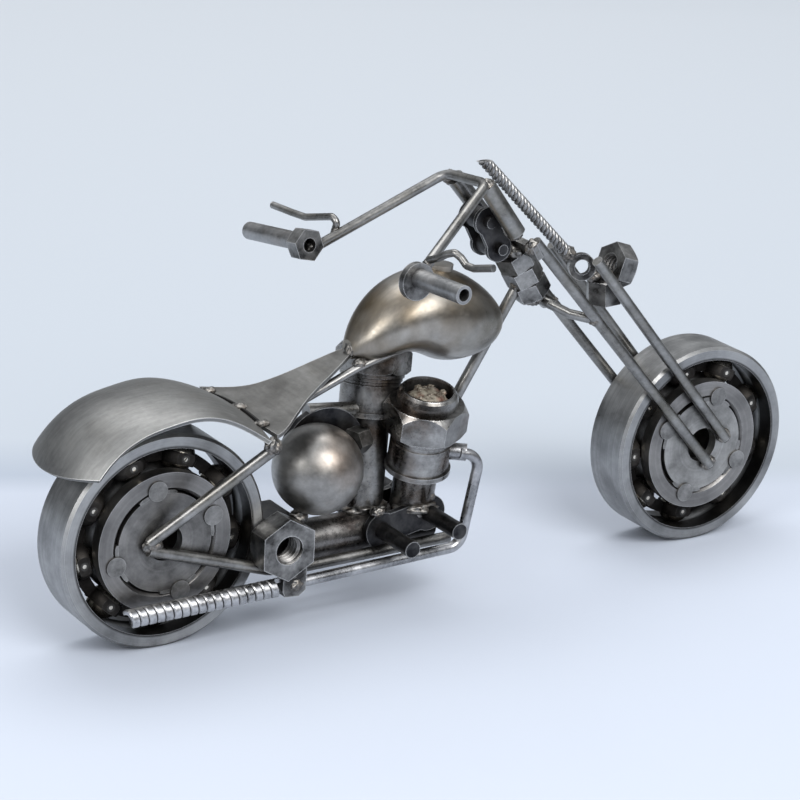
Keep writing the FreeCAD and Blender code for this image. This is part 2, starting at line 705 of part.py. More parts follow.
def seat():
    """Saddle: a strip bent up towards the tank, cut to a pointed plan with a curved edge."""
    back_x, back_width = SEAT_PLAN[0]
    tip_x, tip_width = SEAT_PLAN[-1]
    bend = Vector(SEAT_FLAT_END_X, 0, SEAT_LOW_Z)
    tip = SEAT_TIP + (SEAT_TIP - bend).normalize() * SEAT_OVERRUN
    top = rounded_path([Vector(back_x - SEAT_OVERRUN, 0, SEAT_LOW_Z), bend, tip], SEAT_BEND)
    low = top.copy()
    low.translate(Vector(0, 0, -size("sheet_gauge")))
    ends = [Part.LineSegment(top.OrderedVertexes[i].Point, low.OrderedVertexes[i].Point).toShape() for i in (0, -1)]
    profile = Part.Face(Part.Wire(Part.sortEdges(top.Edges + low.Edges + ends)[0]))
    profile.translate(Y_AXIS * (-1.5 * back_width))
    strip = profile.extrude(Y_AXIS * (3 * back_width))
    plan = Part.Face(Part.Wire([
        spline([Vector(x, -y, 0) for x, y in SEAT_PLAN]),
        Part.LineSegment(Vector(tip_x, -tip_width, 0), Vector(tip_x, tip_width, 0)).toShape(),
        spline([Vector(x, y, 0) for x, y in reversed(SEAT_PLAN)]),
        Part.LineSegment(Vector(back_x, back_width, 0), Vector(back_x, -back_width, 0)).toShape(),
    ]))
    blank = shaped("seat_sheet", strip.common(plan.extrude(Z_AXIS * (2 * SEAT_TIP.z))))
    return notched("seat", blank, pieces["rear_fender"], pieces["fuel_tank"])


rear_fender()
seat()


# ---------------------------------------------------------------- fork

REAR_RODS = {"right": [(115.0, -11.0, 104.1), (187.3, -9.55, 24.7)],
             "left": [(114.6, 11.0, 103.6), (185.6, 9.55, 24.4)]}
FRONT_RODS = {"right": [(137.4, -11.0, 95.8), (192.6, -9.55, 32.5)],
              "left": [(137.0, 11.0, 95.0), (189.5, 9.55, 33.4)]}
STRAP_CENTRE = Vector(114.1, 0, 100.7)
STRAP_TILT = 58
LOOP_PATH = [(138.7, -10.2, 77.6), (132.6, -5.6, 78.9), (126.2, 0, 82.4), (131.8, 5.6, 78.9), (137.6, 10.2, 77.6)]
LOOP_BEND = 2.5


def fork_pair(label, ends, *neighbours):
    """A fork rod on each side of the front wheel, welded to the hub discs."""
    rods = [straight_rod(f"{label}_{side}", top, foot, "Sizes.frame_rod") for side, (top, foot) in ends.items()]
    return notched(label, group(label + "_pair", rods), *neighbours)


def fork_bridges():
    """Flat strap across the top of the fork and bent rod across its lower part."""
    strap = doc.addObject("PartDesign::Body", "fork_strap_body")
    sketch = new_sketch(strap, "fork_strap_outline", "XY_Plane")
    half_width = "Sizes.strap_width / 2"
    half_length = "Sizes.strap_length / 2"
    add_section(sketch, [
        (f"-{half_width}", f"-{half_length}"),
        (half_width, f"-{half_length}"),
        (half_width, half_length),
        (f"-{half_width}", half_length),
    ])
    add_pad(strap, sketch, "Sizes.strap_gauge", "fork_strap_pad")
    strap.Placement = Placement(STRAP_CENTRE, Rotation(Y_AXIS, STRAP_TILT))
    notched("fork_upper_strap", strap, pieces["rear_fork_rods"], pieces["steering_head_nuts"],
            pieces["steering_stem"], pieces["steering_link_plates"], pieces["steering_link_rollers"],
            pieces["steering_link_pins"])
    loop = bent_rod("fork_loop", LOOP_PATH, "Sizes.bar_rod", LOOP_BEND)
    notched("fork_lower_loop", loop, pieces["rear_fork_rods"], pieces["steering_head_nuts"],
            pieces["steering_stem"])


front_welds = [pieces["front_inner_ring"], pieces["front_hub_plates"], pieces["hub_tack_welds"]]
fork_pair("rear_fork_rods", REAR_RODS, *front_welds)
fork_pair("front_fork_rods", FRONT_RODS, *front_welds, pieces["rear_fork_rods"])
fork_bridges()


# ---------------------------------------------------------------- frame, crankcase and foot pegs

SIDE_NUT_FACE = Vector(34.4, -16.5, 25.6)
CRANK_REAR = Vector(43.0, 0, 20.2)
CRANK_FRONT = Vector(90.0, 0, 20.2)
GEARBOX_CORNER = Vector(32.7, -8.4, 15.4)
GEARBOX_EDGE = 1.2
RAIL_PATH = [(-6.0, -9.55, 30.2), (31.5, -10.0, 18.1), (40.0, -8.4, 16.2), (93.0, -8.0, 16.6)]
RAIL_BEND = 8.0
STAY_PATH = [(-5.6, -9.55, 32.4), (25.2, -21.2, 58.4)]
BACKBONE_PATH = [(26.0, 0, 60.4), (41.0, -4.2, 63.2), (61.0, -4.2, 71.2), (80.0, -4.2, 76.4)]
BACKBONE_BEND = 12.0
PEG_TILT = 10.3
PEG_MIDDLE = Vector(78.0, 0, 23.8)
PEG_REACH = 24.2


def side_nut():
    """Big nut welded beside the gearbox block, its bore facing outwards."""
    keep(hex_nut("side_nut_body", aim(SIDE_NUT_FACE, Y_AXIS, 90), "Sizes.side_nut_flats",
                 "Sizes.side_nut_height", "Sizes.side_nut_bore"), "side_nut")


def frame_rods():
    """Lower rails, seat stays and the thin backbone rod under the seat."""
    rear_welds = [pieces["rear_inner_ring"], pieces["rear_hub_plates"], pieces["hub_tack_welds"]]
    rails = [bent_rod("lower_rail_right", RAIL_PATH, "Sizes.frame_rod", RAIL_BEND),
             bent_rod("lower_rail_left", mirrored(RAIL_PATH), "Sizes.frame_rod", RAIL_BEND)]
    notched("lower_rails", group("lower_rail_pair", rails), *rear_welds, pieces["side_nut"])
    stays = [straight_rod("seat_stay_right", *STAY_PATH, "Sizes.frame_rod"),
             straight_rod("seat_stay_left", *mirrored(STAY_PATH), "Sizes.frame_rod")]
    notched("seat_stays", group("seat_stay_pair", stays), *rear_welds, pieces["rear_fender"],
            pieces["lower_rails"], pieces["seat"])
    backbone = bent_rod("backbone", BACKBONE_PATH, "Sizes.backbone_rod", BACKBONE_BEND)
    notched("backbone_rod", backbone, pieces["fuel_tank"], pieces["rear_fender"], pieces["seat"])


def crankcase():
    """Round bar along the bottom of the engine with a block behind it."""
    keep(straight_rod("crank_bar", CRANK_REAR, CRANK_FRONT, "Sizes.crankcase_size"), "crankcase")
    block = bound("Part::Box", "gearbox_blank", Placement(GEARBOX_CORNER, Rotation()),
                  Length=f"{CRANK_REAR.x - GEARBOX_CORNER.x}", Width=f"{-2 * GEARBOX_CORNER.y}",
                  Height="Sizes.gearbox_height")
    eased = doc.addObject("Part::Fillet", "gearbox_eased")
    eased.Base = block
    doc.recompute()
    top_z = block.Shape.BoundBox.ZMax
    eased.Edges = [(number + 1, GEARBOX_EDGE, GEARBOX_EDGE) for number, edge in enumerate(block.Shape.Edges)
                   if edge.CenterOfMass.z == top_z or edge.BoundBox.ZLength > GEARBOX_EDGE]
    notched("gearbox_block", eased, pieces["lower_rails"])


def foot_pegs():
    """Chain plate welded to each side of the crankcase, with its two long pins."""
    along = Vector(math.cos(math.radians(PEG_TILT)), 0, math.sin(math.radians(PEG_TILT)))
    half_pitch = size("peg_pitch") / 2
    crank = size("crankcase_size") / 2
    plates = {}
    pins = []
    for name, side in (("right", -1), ("left", 1)):
        base = PEG_MIDDLE + Y_AXIS * (-crank - size("peg_plate_gauge") if side < 0 else crank)
        plates[name] = chain_plate(f"peg_plate_{name}", "Sizes.peg_pitch", "Sizes.peg_plate_height",
                                   "Sizes.peg_plate_gauge", "Sizes.peg_pin",
                                   Placement(base, Rotation(along, Vector(), Y_AXIS, "ZXY")))
        for index, shift in enumerate((-half_pitch, half_pitch), start=1):
            root = PEG_MIDDLE + along * shift + Y_AXIS * (side * crank)
            pins.append(straight_rod(f"peg_pin_{name}_{index}", root, (root.x, side * PEG_REACH, root.z),
                                     "Sizes.peg_pin"))
    keep(group("peg_pin_set", pins), "foot_peg_pins")
    notched("down_tube", down_tube_bar, pieces["steering_head_nuts"], pieces["steering_stem"],
            pieces["crankcase"], pieces["foot_peg_pins"])
    for name, plate in plates.items():
        notched(f"{name}_foot_peg_plate", plate, pieces["crankcase"], pieces["down_tube"], pieces["lower_rails"])


side_nut()
frame_rods()
crankcase()
foot_pegs()


# ---------------------------------------------------------------- cylinders: two spark-plug shells

PLUGS = {
    "front": {"foot": Vector(83.4, -1.7, 24.6), "axis": Vector(-0.02, -0.19, 0.98), "thread": 14.2, "turn": 26.7},
    "rear": {"foot": Vector(69.5, 3.5, 24.6), "axis": Vector(0.135, 0.135, 0.98), "thread": 28.2, "turn": 28.7},
}
PLUG_SEAT = 1.5
PLUG_BODY = 11.2
PLUG_HEX = {"front": 9.0, "rear": 7.6}
PLUG_RIM = 4.0
PLUG_BOWL_DEPTH = 6.0
PLUG_WAIST = 0.35
PLUG_FLARE = 0.5
PLUG_HEX_ROUND = 3.0
PLUG_TIP_BORE = 0.8
CORE_HEIGHT = 5.0
CORE_DOME = 9.2


def plug_profile(name):
    """Half section of a shell as (radius, height): thread, seat, round body, and the rim round an open bowl."""
    seat_z = PLUGS[name]["thread"] + PLUG_SEAT
    body_z = seat_z + PLUG_BODY
    hex_z = body_z + PLUG_HEX[name]
    profile = [
        (f"{PLUG_TIP_BORE}", "0.2"),
        ("Sizes.plug_thread / 2 - 0.8", "0.2"),
        ("Sizes.plug_thread / 2", "1"),
        ("Sizes.plug_thread / 2", f"{seat_z}"),
        ("Sizes.plug_body / 2", f"{seat_z}"),
        ("Sizes.plug_body / 2", f"{body_z - 3.4}"),
        (f"Sizes.plug_body / 2 - {PLUG_WAIST}", f"{body_z - 3.1}"),
        (f"Sizes.plug_body / 2 - {PLUG_WAIST}", f"{body_z - 2.5}"),
        ("Sizes.plug_body / 2", f"{body_z - 2.2}"),
        ("Sizes.plug_body / 2", f"{body_z - 1.4}"),
        (f"Sizes.plug_body / 2 + {PLUG_FLARE}", f"{body_z - 1.1}"),
    ]
    if name == "rear":
        top_z = body_z + 1
        return profile + [(f"Sizes.plug_body / 2 + {PLUG_FLARE}", f"{top_z}"), (f"{PLUG_TIP_BORE}", f"{top_z}")]
    rim_z = hex_z + PLUG_RIM
    floor_z = rim_z - PLUG_BOWL_DEPTH
    return profile + [
        (f"Sizes.plug_body / 2 + {PLUG_FLARE}", f"{hex_z}"),
        ("Sizes.plug_rim / 2", f"{hex_z}"),
        ("Sizes.plug_rim / 2", f"{rim_z - 2.2}"),
        ("Sizes.plug_rim / 2 - 0.5", f"{rim_z - 0.8}"),
        ("Sizes.plug_rim / 2 - 1.2", f"{rim_z}"),
        ("Sizes.plug_bowl / 2 + 0.1", f"{rim_z}"),
        ("Sizes.plug_bowl / 2", f"{rim_z - 0.6}"),
        ("Sizes.plug_bowl / 2", f"{floor_z}"),
        (f"{PLUG_TIP_BORE}", f"{floor_z}"),
    ]


def plug_hexagon(name, place):
    """Wrench hexagon with rounded corners; the front one is open in the middle."""
    height = PLUG_HEX[name]
    hexagon = doc.addObject("PartDesign::Body", name + "_plug_hexagon")
    sketch = new_sketch(hexagon, name + "_plug_hexagon_outline", "XY_Plane")
    flats = f"Sizes.{name}_plug_flats"
    add_hexagon(sketch, flats)
    if name == "front":
        add_circle(sketch, "Sizes.plug_bowl / 2 + 0.2")
    add_pad(hexagon, sketch, f"{height}", name + "_plug_hexagon_pad")
    hexagon.Placement = place
    wide = f"{flats} / 2 + {PLUG_HEX_ROUND + 1}"
    low = bound("Part::Cone", name + "_hexagon_round", place, Radius1=f"{flats} / 2 + 0.4",
                Radius2=wide, Height=f"{PLUG_HEX_ROUND}")
    raised = place.multiply(Placement(Z_AXIS * PLUG_HEX_ROUND, Rotation()))
    high = bound("Part::Cone", name + "_hexagon_crown", raised, Radius1=wide, Radius2=f"{flats} / 2",
                 Height=f"{height - PLUG_HEX_ROUND}")
    return common(name + "_hexagon_eased", hexagon, fused(name + "_hexagon_form", [low, high]))


def plug_shell(name, *neighbours):
    """Spark-plug shell standing on the crankcase."""
    plug = PLUGS[name]
    place = aim(plug["foot"], plug["axis"], plug["turn"])
    body = turned(name + "_plug_body", plug_profile(name))
    body.Placement = place
    body_top = plug["thread"] + PLUG_SEAT + PLUG_BODY
    hexagon = plug_hexagon(name, place.multiply(Placement(Z_AXIS * body_top, Rotation())))
    shell = fused(name + "_plug", [body, hexagon])
    return notched(f"{name}_cylinder_shell", shell, *neighbours)


def plug_core():
    """Stump of the insulator and weld metal left in the open bowl of the front shell."""
    plug = PLUGS["front"]
    place = aim(plug["foot"], plug["axis"])
    floor_z = plug["thread"] + PLUG_SEAT + PLUG_BODY + PLUG_HEX["front"] + PLUG_RIM - PLUG_BOWL_DEPTH
    stump = bound("Part::Cylinder", "front_core_stump", place.multiply(Placement(Z_AXIS * floor_z, Rotation())),
                  Radius="Sizes.plug_bowl / 2", Height=f"{CORE_HEIGHT}")
    dome_z = floor_z + CORE_HEIGHT - CORE_DOME - 0.3
    dome = bound("Part::Sphere", "front_core_dome", place.multiply(Placement(Z_AXIS * dome_z, Rotation())),
                 Radius=f"{CORE_DOME}")
    keep(common("front_core_rounded", stump, dome), "front_cylinder_core")


def plug_gaskets():
    """Crushed ring under the seat of each shell."""
    rings = []
    for name, plug in PLUGS.items():
        axis = Vector(plug["axis"]).normalize()
        rings.append(tube(f"{name}_gasket", aim(plug["foot"] + axis * plug["thread"], axis),
                          "Sizes.gasket_size", "Sizes.gasket_bore", f"{PLUG_SEAT}"))
    notched("cylinder_gaskets", group("gasket_pair", rings), pieces["front_cylinder_shell"])


engine_bottom = [pieces["crankcase"], pieces["foot_peg_pins"], pieces["right_foot_peg_plate"],
                 pieces["left_foot_peg_plate"]]
plug_shell("front", *engine_bottom)
plug_core()
plug_gaskets()
plug_shell("rear", *engine_bottom, pieces["front_cylinder_shell"], pieces["cylinder_gaskets"],
           pieces["fuel_tank"])


# ---------------------------------------------------------------- steel ball, its washer, rod and nut

BALL_CENTRE = Vector(49.4, -5.0, 43.5)
WASHER_CENTRE = Vector(55.5, 2.0, 45.0)
INTAKE_ROD = [(50.5, 4.4, 57.4), (68.0, 4.4, 55.6)]
CARBURETTOR_FOOT = Vector(61.0, -3.4, 49.0)
CARBURETTOR_AXIS = Vector(0.9, 0.42, -0.05)


def air_cleaner():
    """Steel ball beside the engine, the washer behind it, a short rod and a small nut."""
    keep(bound("Part::Sphere", "air_ball", Placement(BALL_CENTRE, Rotation()), Radius="Sizes.air_ball / 2"),
         "steel_ball")
    rear_plug = [pieces["rear_cylinder_shell"], pieces["cylinder_gaskets"]]
    ring = tube("ball_washer_ring", aim(WASHER_CENTRE, Y_AXIS), "Sizes.ball_washer_outside",
                "Sizes.ball_washer_bore", "Sizes.ball_washer_gauge")
    notched("ball_washer", ring, *rear_plug, pieces["steel_ball"])
    rod = straight_rod("intake_bar", *INTAKE_ROD, "Sizes.intake_size")
    notched("intake_rod", rod, *rear_plug, pieces["ball_washer"])
    nut = hex_nut("carburettor_blank", aim(CARBURETTOR_FOOT, CARBURETTOR_AXIS), "Sizes.small_nut_flats",
                  "Sizes.small_nut_height", "Sizes.small_nut_bore")
    notched("carburettor_nut", nut, *rear_plug, pieces["ball_washer"], pieces["steel_ball"])


air_cleaner()


# ---------------------------------------------------------------- exhaust

EXHAUST_Y = -13.6
PORT_ENDS = [(88.5, -9.2, 44.5), (94.2, -13.0, 44.2)]
PIPE_PATH = [(91.5, -13.4, 44.6), (97.9, -14.6, 43.2), (93.3, EXHAUST_Y, 15.8), (40.5, EXHAUST_Y, 14.2)]
PIPE_BEND = 4.5
HANGER_OUTLINE = [("34.2", "11.2"), ("38.6", "10.8"), ("40.9", "12.4"), ("41", "19"), ("33.6", "19"), ("33.4", "13")]
MUFFLER_FRONT = Vector(33.6, -14.2, 14.2)
MUFFLER_REAR = Vector(-15.2, -14.6, 13.6)
FLAT_WIRE_EDGE = 0.35


def exhaust():
    """Port stub, bent pipe and the hanger plate behind it."""
    port = straight_rod("exhaust_port_blank", *PORT_ENDS, "Sizes.port_size")
    notched("exhaust_port_nut", port, pieces["front_cylinder_shell"])
    pipe = bent_rod("exhaust_bend", PIPE_PATH, "Sizes.exhaust_rod", PIPE_BEND)
    notched("exhaust_pipe", pipe, pieces["exhaust_port_nut"], pieces["front_cylinder_shell"],
            pieces["foot_peg_pins"])
    plate = doc.addObject("PartDesign::Body", "exhaust_hanger_body")
    sketch = new_sketch(plate, "exhaust_hanger_outline", "XZ_Plane")
    add_section(sketch, HANGER_OUTLINE)
    add_pad(plate, sketch, "Sizes.hanger_gauge", "exhaust_hanger_pad", midplane=True)
    plate.Placement = Placement(Y_AXIS * EXHAUST_Y, Rotation())
    notched("exhaust_hanger", plate, pieces["side_nut"], pieces["exhaust_pipe"], pieces["lower_rails"])


def flat_wire_section(inner, outer, half_width):
    """Section of the flat wire in the XZ plane, its outer corners eased."""
    points = [Vector(inner, 0, -half_width), Vector(outer - FLAT_WIRE_EDGE, 0, -half_width),
              Vector(outer, 0, FLAT_WIRE_EDGE - half_width), Vector(outer, 0, half_width - FLAT_WIRE_EDGE),
              Vector(outer - FLAT_WIRE_EDGE, 0, half_width), Vector(inner, 0, half_width)]
    return Part.makePolygon(points + [points[0]])


def muffler():
    """Flat wire wound edge to edge into a flexible casing."""
    pitch = size("casing_pitch")
    outer = size("casing_outside") / 2
    inner = size("casing_bore") / 2
    run = MUFFLER_REAR - MUFFLER_FRONT
    helix = Part.makeHelix(pitch, run.Length - pitch, (outer + inner) / 2)
    section = flat_wire_section(inner, outer, (pitch - size("casing_gap")) / 2)
    casing = shaped("muffler_casing", Part.Wire(helix.Edges).makePipeShell([section], True, True))
    casing.Placement = aim(MUFFLER_FRONT + Vector(run).normalize() * (pitch / 2), run)
    keep(casing, "muffler_coil")


exhaust()
muffler()


# ---------------------------------------------------------------- handlebar

# the bar is welded on slightly askew, so its two sides are placed separately
BAR_PATH = [(60.6, -32.4, 104.8), (98.05, -9.35, 122.3), (96.7, 9.4, 120.9), (60.2, 22.6, 98.4)]
BAR_BEND = 5.0
RISERS = [[(98.6, -8.5, 121.5), (109.2, -9.6, 106.9)], [(98.4, 7.2, 120.1), (110.2, 8.0, 106.9)]]
WASHER_FACE = Vector(60.5, -32.1, 105.0)
BAR_NUT_FACE = Vector(58.3, 18.9, 101.3)
BAR_NUT_TURN = 15
GRIP_ENDS = {"right": (Vector(60.9, -33.2, 106.0), Vector(62.5, -53.2, 106.6)),
             "left": (Vector(57.8, 23.2, 101.2), Vector(56.6, 50.0, 97.6))}
LEVER_PATHS = {
    "right": [(66.5, -29.5, 109.2), (67.0, -33.2, 110.7), (68.0, -36.1, 112.6), (69.0, -38.2, 113.4),
              (70.0, -39.8, 112.3), (70.7, -41.6, 110.5), (71.3, -44.3, 110.4), (73.0, -50.9, 112.1)],
    "left": [(68.0, 22.0, 102.9), (68.0, 20.4, 106.6), (67.5, 22.4, 107.8), (67.0, 29.2, 106.0),
             (66.0, 34.8, 104.6), (65.0, 40.5, 104.6), (63.5, 49.2, 104.8)],
}
LEVER_BEND = 1.25


def handlebar():
    """One bent rod on two risers, with an end fitting, a grip tube and a bent lever on each side."""
    keep(bent_rod("handlebar_bend", BAR_PATH, "Sizes.bar_rod", BAR_BEND), "handlebar")
    risers = [straight_rod(f"riser_{index}", top, foot, "Sizes.riser_size")
              for index, (top, foot) in enumerate(RISERS, start=1)]
    notched("handlebar_risers", group("riser_pair", risers), pieces["handlebar"], pieces["rear_fork_rods"],
            pieces["steering_link_pins"])
    grip_line = {side: end - root for side, (root, end) in GRIP_ENDS.items()}
    washer = tube("right_bar_washer_ring", aim(WASHER_FACE, grip_line["right"]), "Sizes.bar_washer_outside",
                  "Sizes.bar_washer_bore", "Sizes.bar_washer_gauge")
    nut = hex_nut("left_bar_nut_blank", aim(BAR_NUT_FACE, grip_line["left"], BAR_NUT_TURN),
                  "Sizes.bar_nut_flats", "Sizes.bar_nut_height", "Sizes.bar_nut_bore")
    fittings = {"right": notched("right_bar_washer", washer, pieces["handlebar"]),
                "left": notched("left_bar_nut", nut, pieces["handlebar"])}
    for side, (root, end) in GRIP_ENDS.items():
        pipe = tube(f"{side}_grip_pipe", aim(root, end - root), "Sizes.grip_outside", "Sizes.grip_bore",
                    f"{(end - root).Length}")
        grip = notched(f"{side}_grip", pipe, pieces["handlebar"], fittings[side])
        wire = bent_rod(f"{side}_lever_wire", LEVER_PATHS[side], "Sizes.lever_rod", LEVER_BEND)
        notched(f"{side}_lever", wire, pieces["handlebar"], fittings[side], grip)


handlebar()


# ---------------------------------------------------------------- front rope and headlight

ROPE_TOP = Vector(98.5, -3.0, 129.7)
ROPE_FOOT = Vector(131.8, -3.0, 97.2)
ROPE_CUT_Z = 127.0
ROPE_STRANDS = 3
ROPE_SLACK = 0.05


def wire_rope():
    """Three strands twisted together, the upper end cut off level."""
    strand = size("rope_strand") / 2
    lay = size("rope_lay")
    radius = strand * 2 / math.sqrt(3) + ROPE_SLACK
    length = (ROPE_FOOT - ROPE_TOP).Length
    strands = []
    for index in range(ROPE_STRANDS):
        helix = Part.Wire(Part.makeHelix(lay, length, radius).Edges)
        slope = Vector(0, 2 * math.pi * radius, lay)
        section = Part.Wire(Part.Circle(Vector(radius, 0, 0), slope, strand).toShape())
        pipe = helix.makePipeShell([section], True, True)
        pipe.rotate(Vector(), Z_AXIS, 360 * index / ROPE_STRANDS)
        pipe.Placement = aim(ROPE_TOP, ROPE_FOOT - ROPE_TOP).multiply(pipe.Placement)
        strands.append(pipe)
    reach = length / 2
    above = Part.makeBox(2 * reach, 2 * reach, reach, Vector(ROPE_TOP.x - reach, ROPE_TOP.y - reach, ROPE_CUT_Z))
    rope = shaped("rope_strands", Part.makeCompound([pipe.cut(above) for pipe in strands]))
    keep(rope, "wire_rope")


LAMP_AXIS = Vector(0.95, 0, -0.31)
LAMP_REAR = Vector(148.9, -2.0, 91.2)
LAMP_TURN = 120
LAMP_STEM_FOOT = Vector(146.9, -3.0, 80.0)
LAMP_STEM_AXIS = Vector(-0.06, 0.02, 1.0)
LAMP_RING_CENTRE = Vector(138.2, -3.0, 91.6)
LAMP_RING_AXIS = Vector(0.45, 0.88, -0.12)


def headlight():
    """Nut that stands for the headlight, carried on a second nut and a ring between the fork rods."""
    lamp = hex_nut("headlight_blank", aim(LAMP_REAR, LAMP_AXIS, LAMP_TURN), "Sizes.headlight_flats",
                   "Sizes.headlight_height", "Sizes.headlight_bore")
    keep(lamp, "headlight_nut")
    stem = hex_nut("lamp_stem_blank", aim(LAMP_STEM_FOOT, LAMP_STEM_AXIS), "Sizes.stem_nut_flats",
                   "Sizes.stem_nut_height", "Sizes.stem_nut_bore")
    bore_fill = bound("Part::Cylinder", "headlight_bore_fill", lamp.Placement, Radius="Sizes.headlight_bore / 2",
                      Height="Sizes.headlight_height")
    notched("lamp_stem_nut", stem, lamp, bore_fill, pieces["front_fork_rods"], pieces["rear_fork_rods"])
    ring = tube("lamp_ring_tube", aim(LAMP_RING_CENTRE, LAMP_RING_AXIS), "Sizes.lamp_ring_outside",
                "Sizes.lamp_ring_bore", "Sizes.lamp_ring_gauge")
    notched("lamp_ring", ring, pieces["lamp_stem_nut"], pieces["headlight_nut"], pieces["wire_rope"],
            pieces["front_fork_rods"], pieces["rear_fork_rods"])


wire_rope()
headlight()


# ---------------------------------------------------------------- check and write

MAX_FILES = 60


def write_parts():
    """Recompute, check every object, and write one STEP file for each sub-part."""
    doc.recompute()
    for thing in doc.Objects:
        if "Invalid" in thing.State or "Error" in thing.State:
            raise RuntimeError(f"{thing.Label} failed: {thing.State}")
    if len(pieces) > MAX_FILES:
        raise RuntimeError(f"{len(pieces)} sub-parts, at most {MAX_FILES}")
    os.makedirs("parts", exist_ok=True)
    for label, thing in pieces.items():
        shape = thing.Shape
        if shape.isNull() or not shape.isValid() or not shape.Solids:
            raise RuntimeError(f"{label} has no valid solid")
        shape.exportStep(f"parts/{label}.step")


write_parts()
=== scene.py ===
"""Looks of the scrap-metal motorcycle: brushed steel, sooty and with painted shade in its corners, weld
beads, threads and a lumpy plug core.
"""
import math
import random

import bmesh
import bpy
from mathutils import Matrix, Vector, noise


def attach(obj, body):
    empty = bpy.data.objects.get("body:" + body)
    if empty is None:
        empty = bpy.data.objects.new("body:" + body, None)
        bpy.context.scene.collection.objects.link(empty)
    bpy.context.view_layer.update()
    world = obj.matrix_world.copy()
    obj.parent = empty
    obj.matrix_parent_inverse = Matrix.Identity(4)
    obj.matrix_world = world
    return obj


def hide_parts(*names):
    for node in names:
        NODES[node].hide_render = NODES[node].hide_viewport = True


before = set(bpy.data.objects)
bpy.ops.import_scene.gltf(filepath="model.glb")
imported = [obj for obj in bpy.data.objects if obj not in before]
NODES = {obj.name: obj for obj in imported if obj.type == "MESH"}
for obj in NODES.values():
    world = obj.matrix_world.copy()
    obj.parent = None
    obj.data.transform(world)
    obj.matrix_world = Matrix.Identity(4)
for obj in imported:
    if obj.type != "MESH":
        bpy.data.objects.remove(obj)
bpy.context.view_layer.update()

MM = 0.001
REAR_HUB = Vector((0, 0, 31.0)) * MM
FRONT_HUB = Vector((185.0, 0, 31.0)) * MM


# ---------------------------------------------------------------- node helpers

def new_material(name):
    material = bpy.data.materials.new(name)
    material.use_nodes = True
    material.node_tree.nodes.clear()
    return material


class Graph:
    """Thin wrapper that adds shader nodes to a material or world and links them."""

    def __init__(self, owner):
        self.tree = owner.node_tree

    def add(self, kind, inputs=None, **settings):
        node = self.tree.nodes.new(kind)
        for key, value in settings.items():
            setattr(node, key, value)
        for key, value in (inputs or {}).items():
            self.feed(node, key, value)
        return node

    def feed(self, node, key, value):
        if isinstance(value, bpy.types.NodeSocket):
            self.tree.links.new(value, node.inputs[key])
        else:
            node.inputs[key].default_value = value

    def math(self, operation, a, b=0.0):
        return self.add("ShaderNodeMath", {0: a, 1: b}, operation=operation).outputs[0]

    def noise(self, vector, scale, detail=4.0, rough=0.55):
        inputs = {"Vector": vector, "Scale": scale, "Detail": detail, "Roughness": rough}
        return self.add("ShaderNodeTexNoise", inputs).outputs["Fac"]

    def stretched(self, vector, scale):
        return self.add("ShaderNodeMapping", {"Vector": vector, "Scale": scale}).outputs[0]

    def ramp(self, factor, stops):
        node = self.add("ShaderNodeValToRGB", {"Fac": factor})
        elements = node.color_ramp.elements
        while len(elements) < len(stops):
            elements.new(0.5)
        for element, (place, colour) in zip(elements, stops):
            element.position = place
            element.color = (*colour, 1.0)
        return node.outputs["Color"]

    def span(self, factor, low, high, to_low=0.0, to_high=1.0):
        inputs = {"Value": factor, "From Min": low, "From Max": high, "To Min": to_low, "To Max": to_high}
        return self.add("ShaderNodeMapRange", inputs).outputs[0]

    def mix(self, factor, first, second, blend="MIX"):
        node = self.add("ShaderNodeMix", data_type="RGBA", blend_type=blend)
        self.feed(node, 0, factor)
        self.feed(node, 6, first if isinstance(first, bpy.types.NodeSocket) else (*first, 1.0))
        self.feed(node, 7, second if isinstance(second, bpy.types.NodeSocket) else (*second, 1.0))
        return node.outputs[2]

    def dot(self, first, second):
        node = self.add("ShaderNodeVectorMath", {0: first, 1: second}, operation="DOT_PRODUCT")
        return node.outputs["Value"]

    def bump(self, height, strength, distance):
        inputs = {"Height": height, "Strength": strength, "Distance": distance}
        return self.add("ShaderNodeBump", inputs).outputs[0]

    def end(self, kind, shader):
        self.tree.links.new(shader.outputs[0], self.add(kind).inputs[0])


# ---------------------------------------------------------------- metal

# painted shade on the inner edge of the outer rings, beside the bearing gaps
GAP_SHADE_COLOUR = (0.018, 0.016, 0.015)
# colour of sooty darkening mixed with painted shade in corners
SOOT_AND_SHADE_COLOUR = (0.02, 0.018, 0.017)
WORN_COLOUR = (0.72, 0.71, 0.69)
WORN_WIDTH = 0.5 * MM
RELIEF = 0.12 * MM
GRAIN_SCALE = 900.0
LATHE_SCALE = 1500.0


def turned_coordinate(graph, point, centre):
    """(radius, Y) about a wheel axis, so that noise in it draws lathe lines round the ring."""
    offset = graph.add("ShaderNodeVectorMath", {0: point, 1: centre}, operation="SUBTRACT").outputs[0]
    parts = graph.add("ShaderNodeSeparateXYZ", {0: offset}).outputs
    flat = graph.add("ShaderNodeCombineXYZ", {0: parts[0], 2: parts[2]}).outputs[0]
    radius = graph.add("ShaderNodeVectorMath", {0: flat}, operation="LENGTH").outputs["Value"]
    return radius, graph.add("ShaderNodeCombineXYZ", {0: radius, 1: parts[1]}).outputs[0]


def soot_and_shade_share(graph, point, shade, soot_and_shade):
    """How sooty and shaded a point is painted: most in corners, where the ambient occlusion finds shade, with
    a ragged border.
    """
    ragged = graph.span(graph.noise(point, 240.0, 5.0, 0.7), 0.3, 0.7, -0.18, 0.18)
    return graph.span(graph.math("ADD", shade, ragged), 0.25, 0.8, soot_and_shade, 0.0)


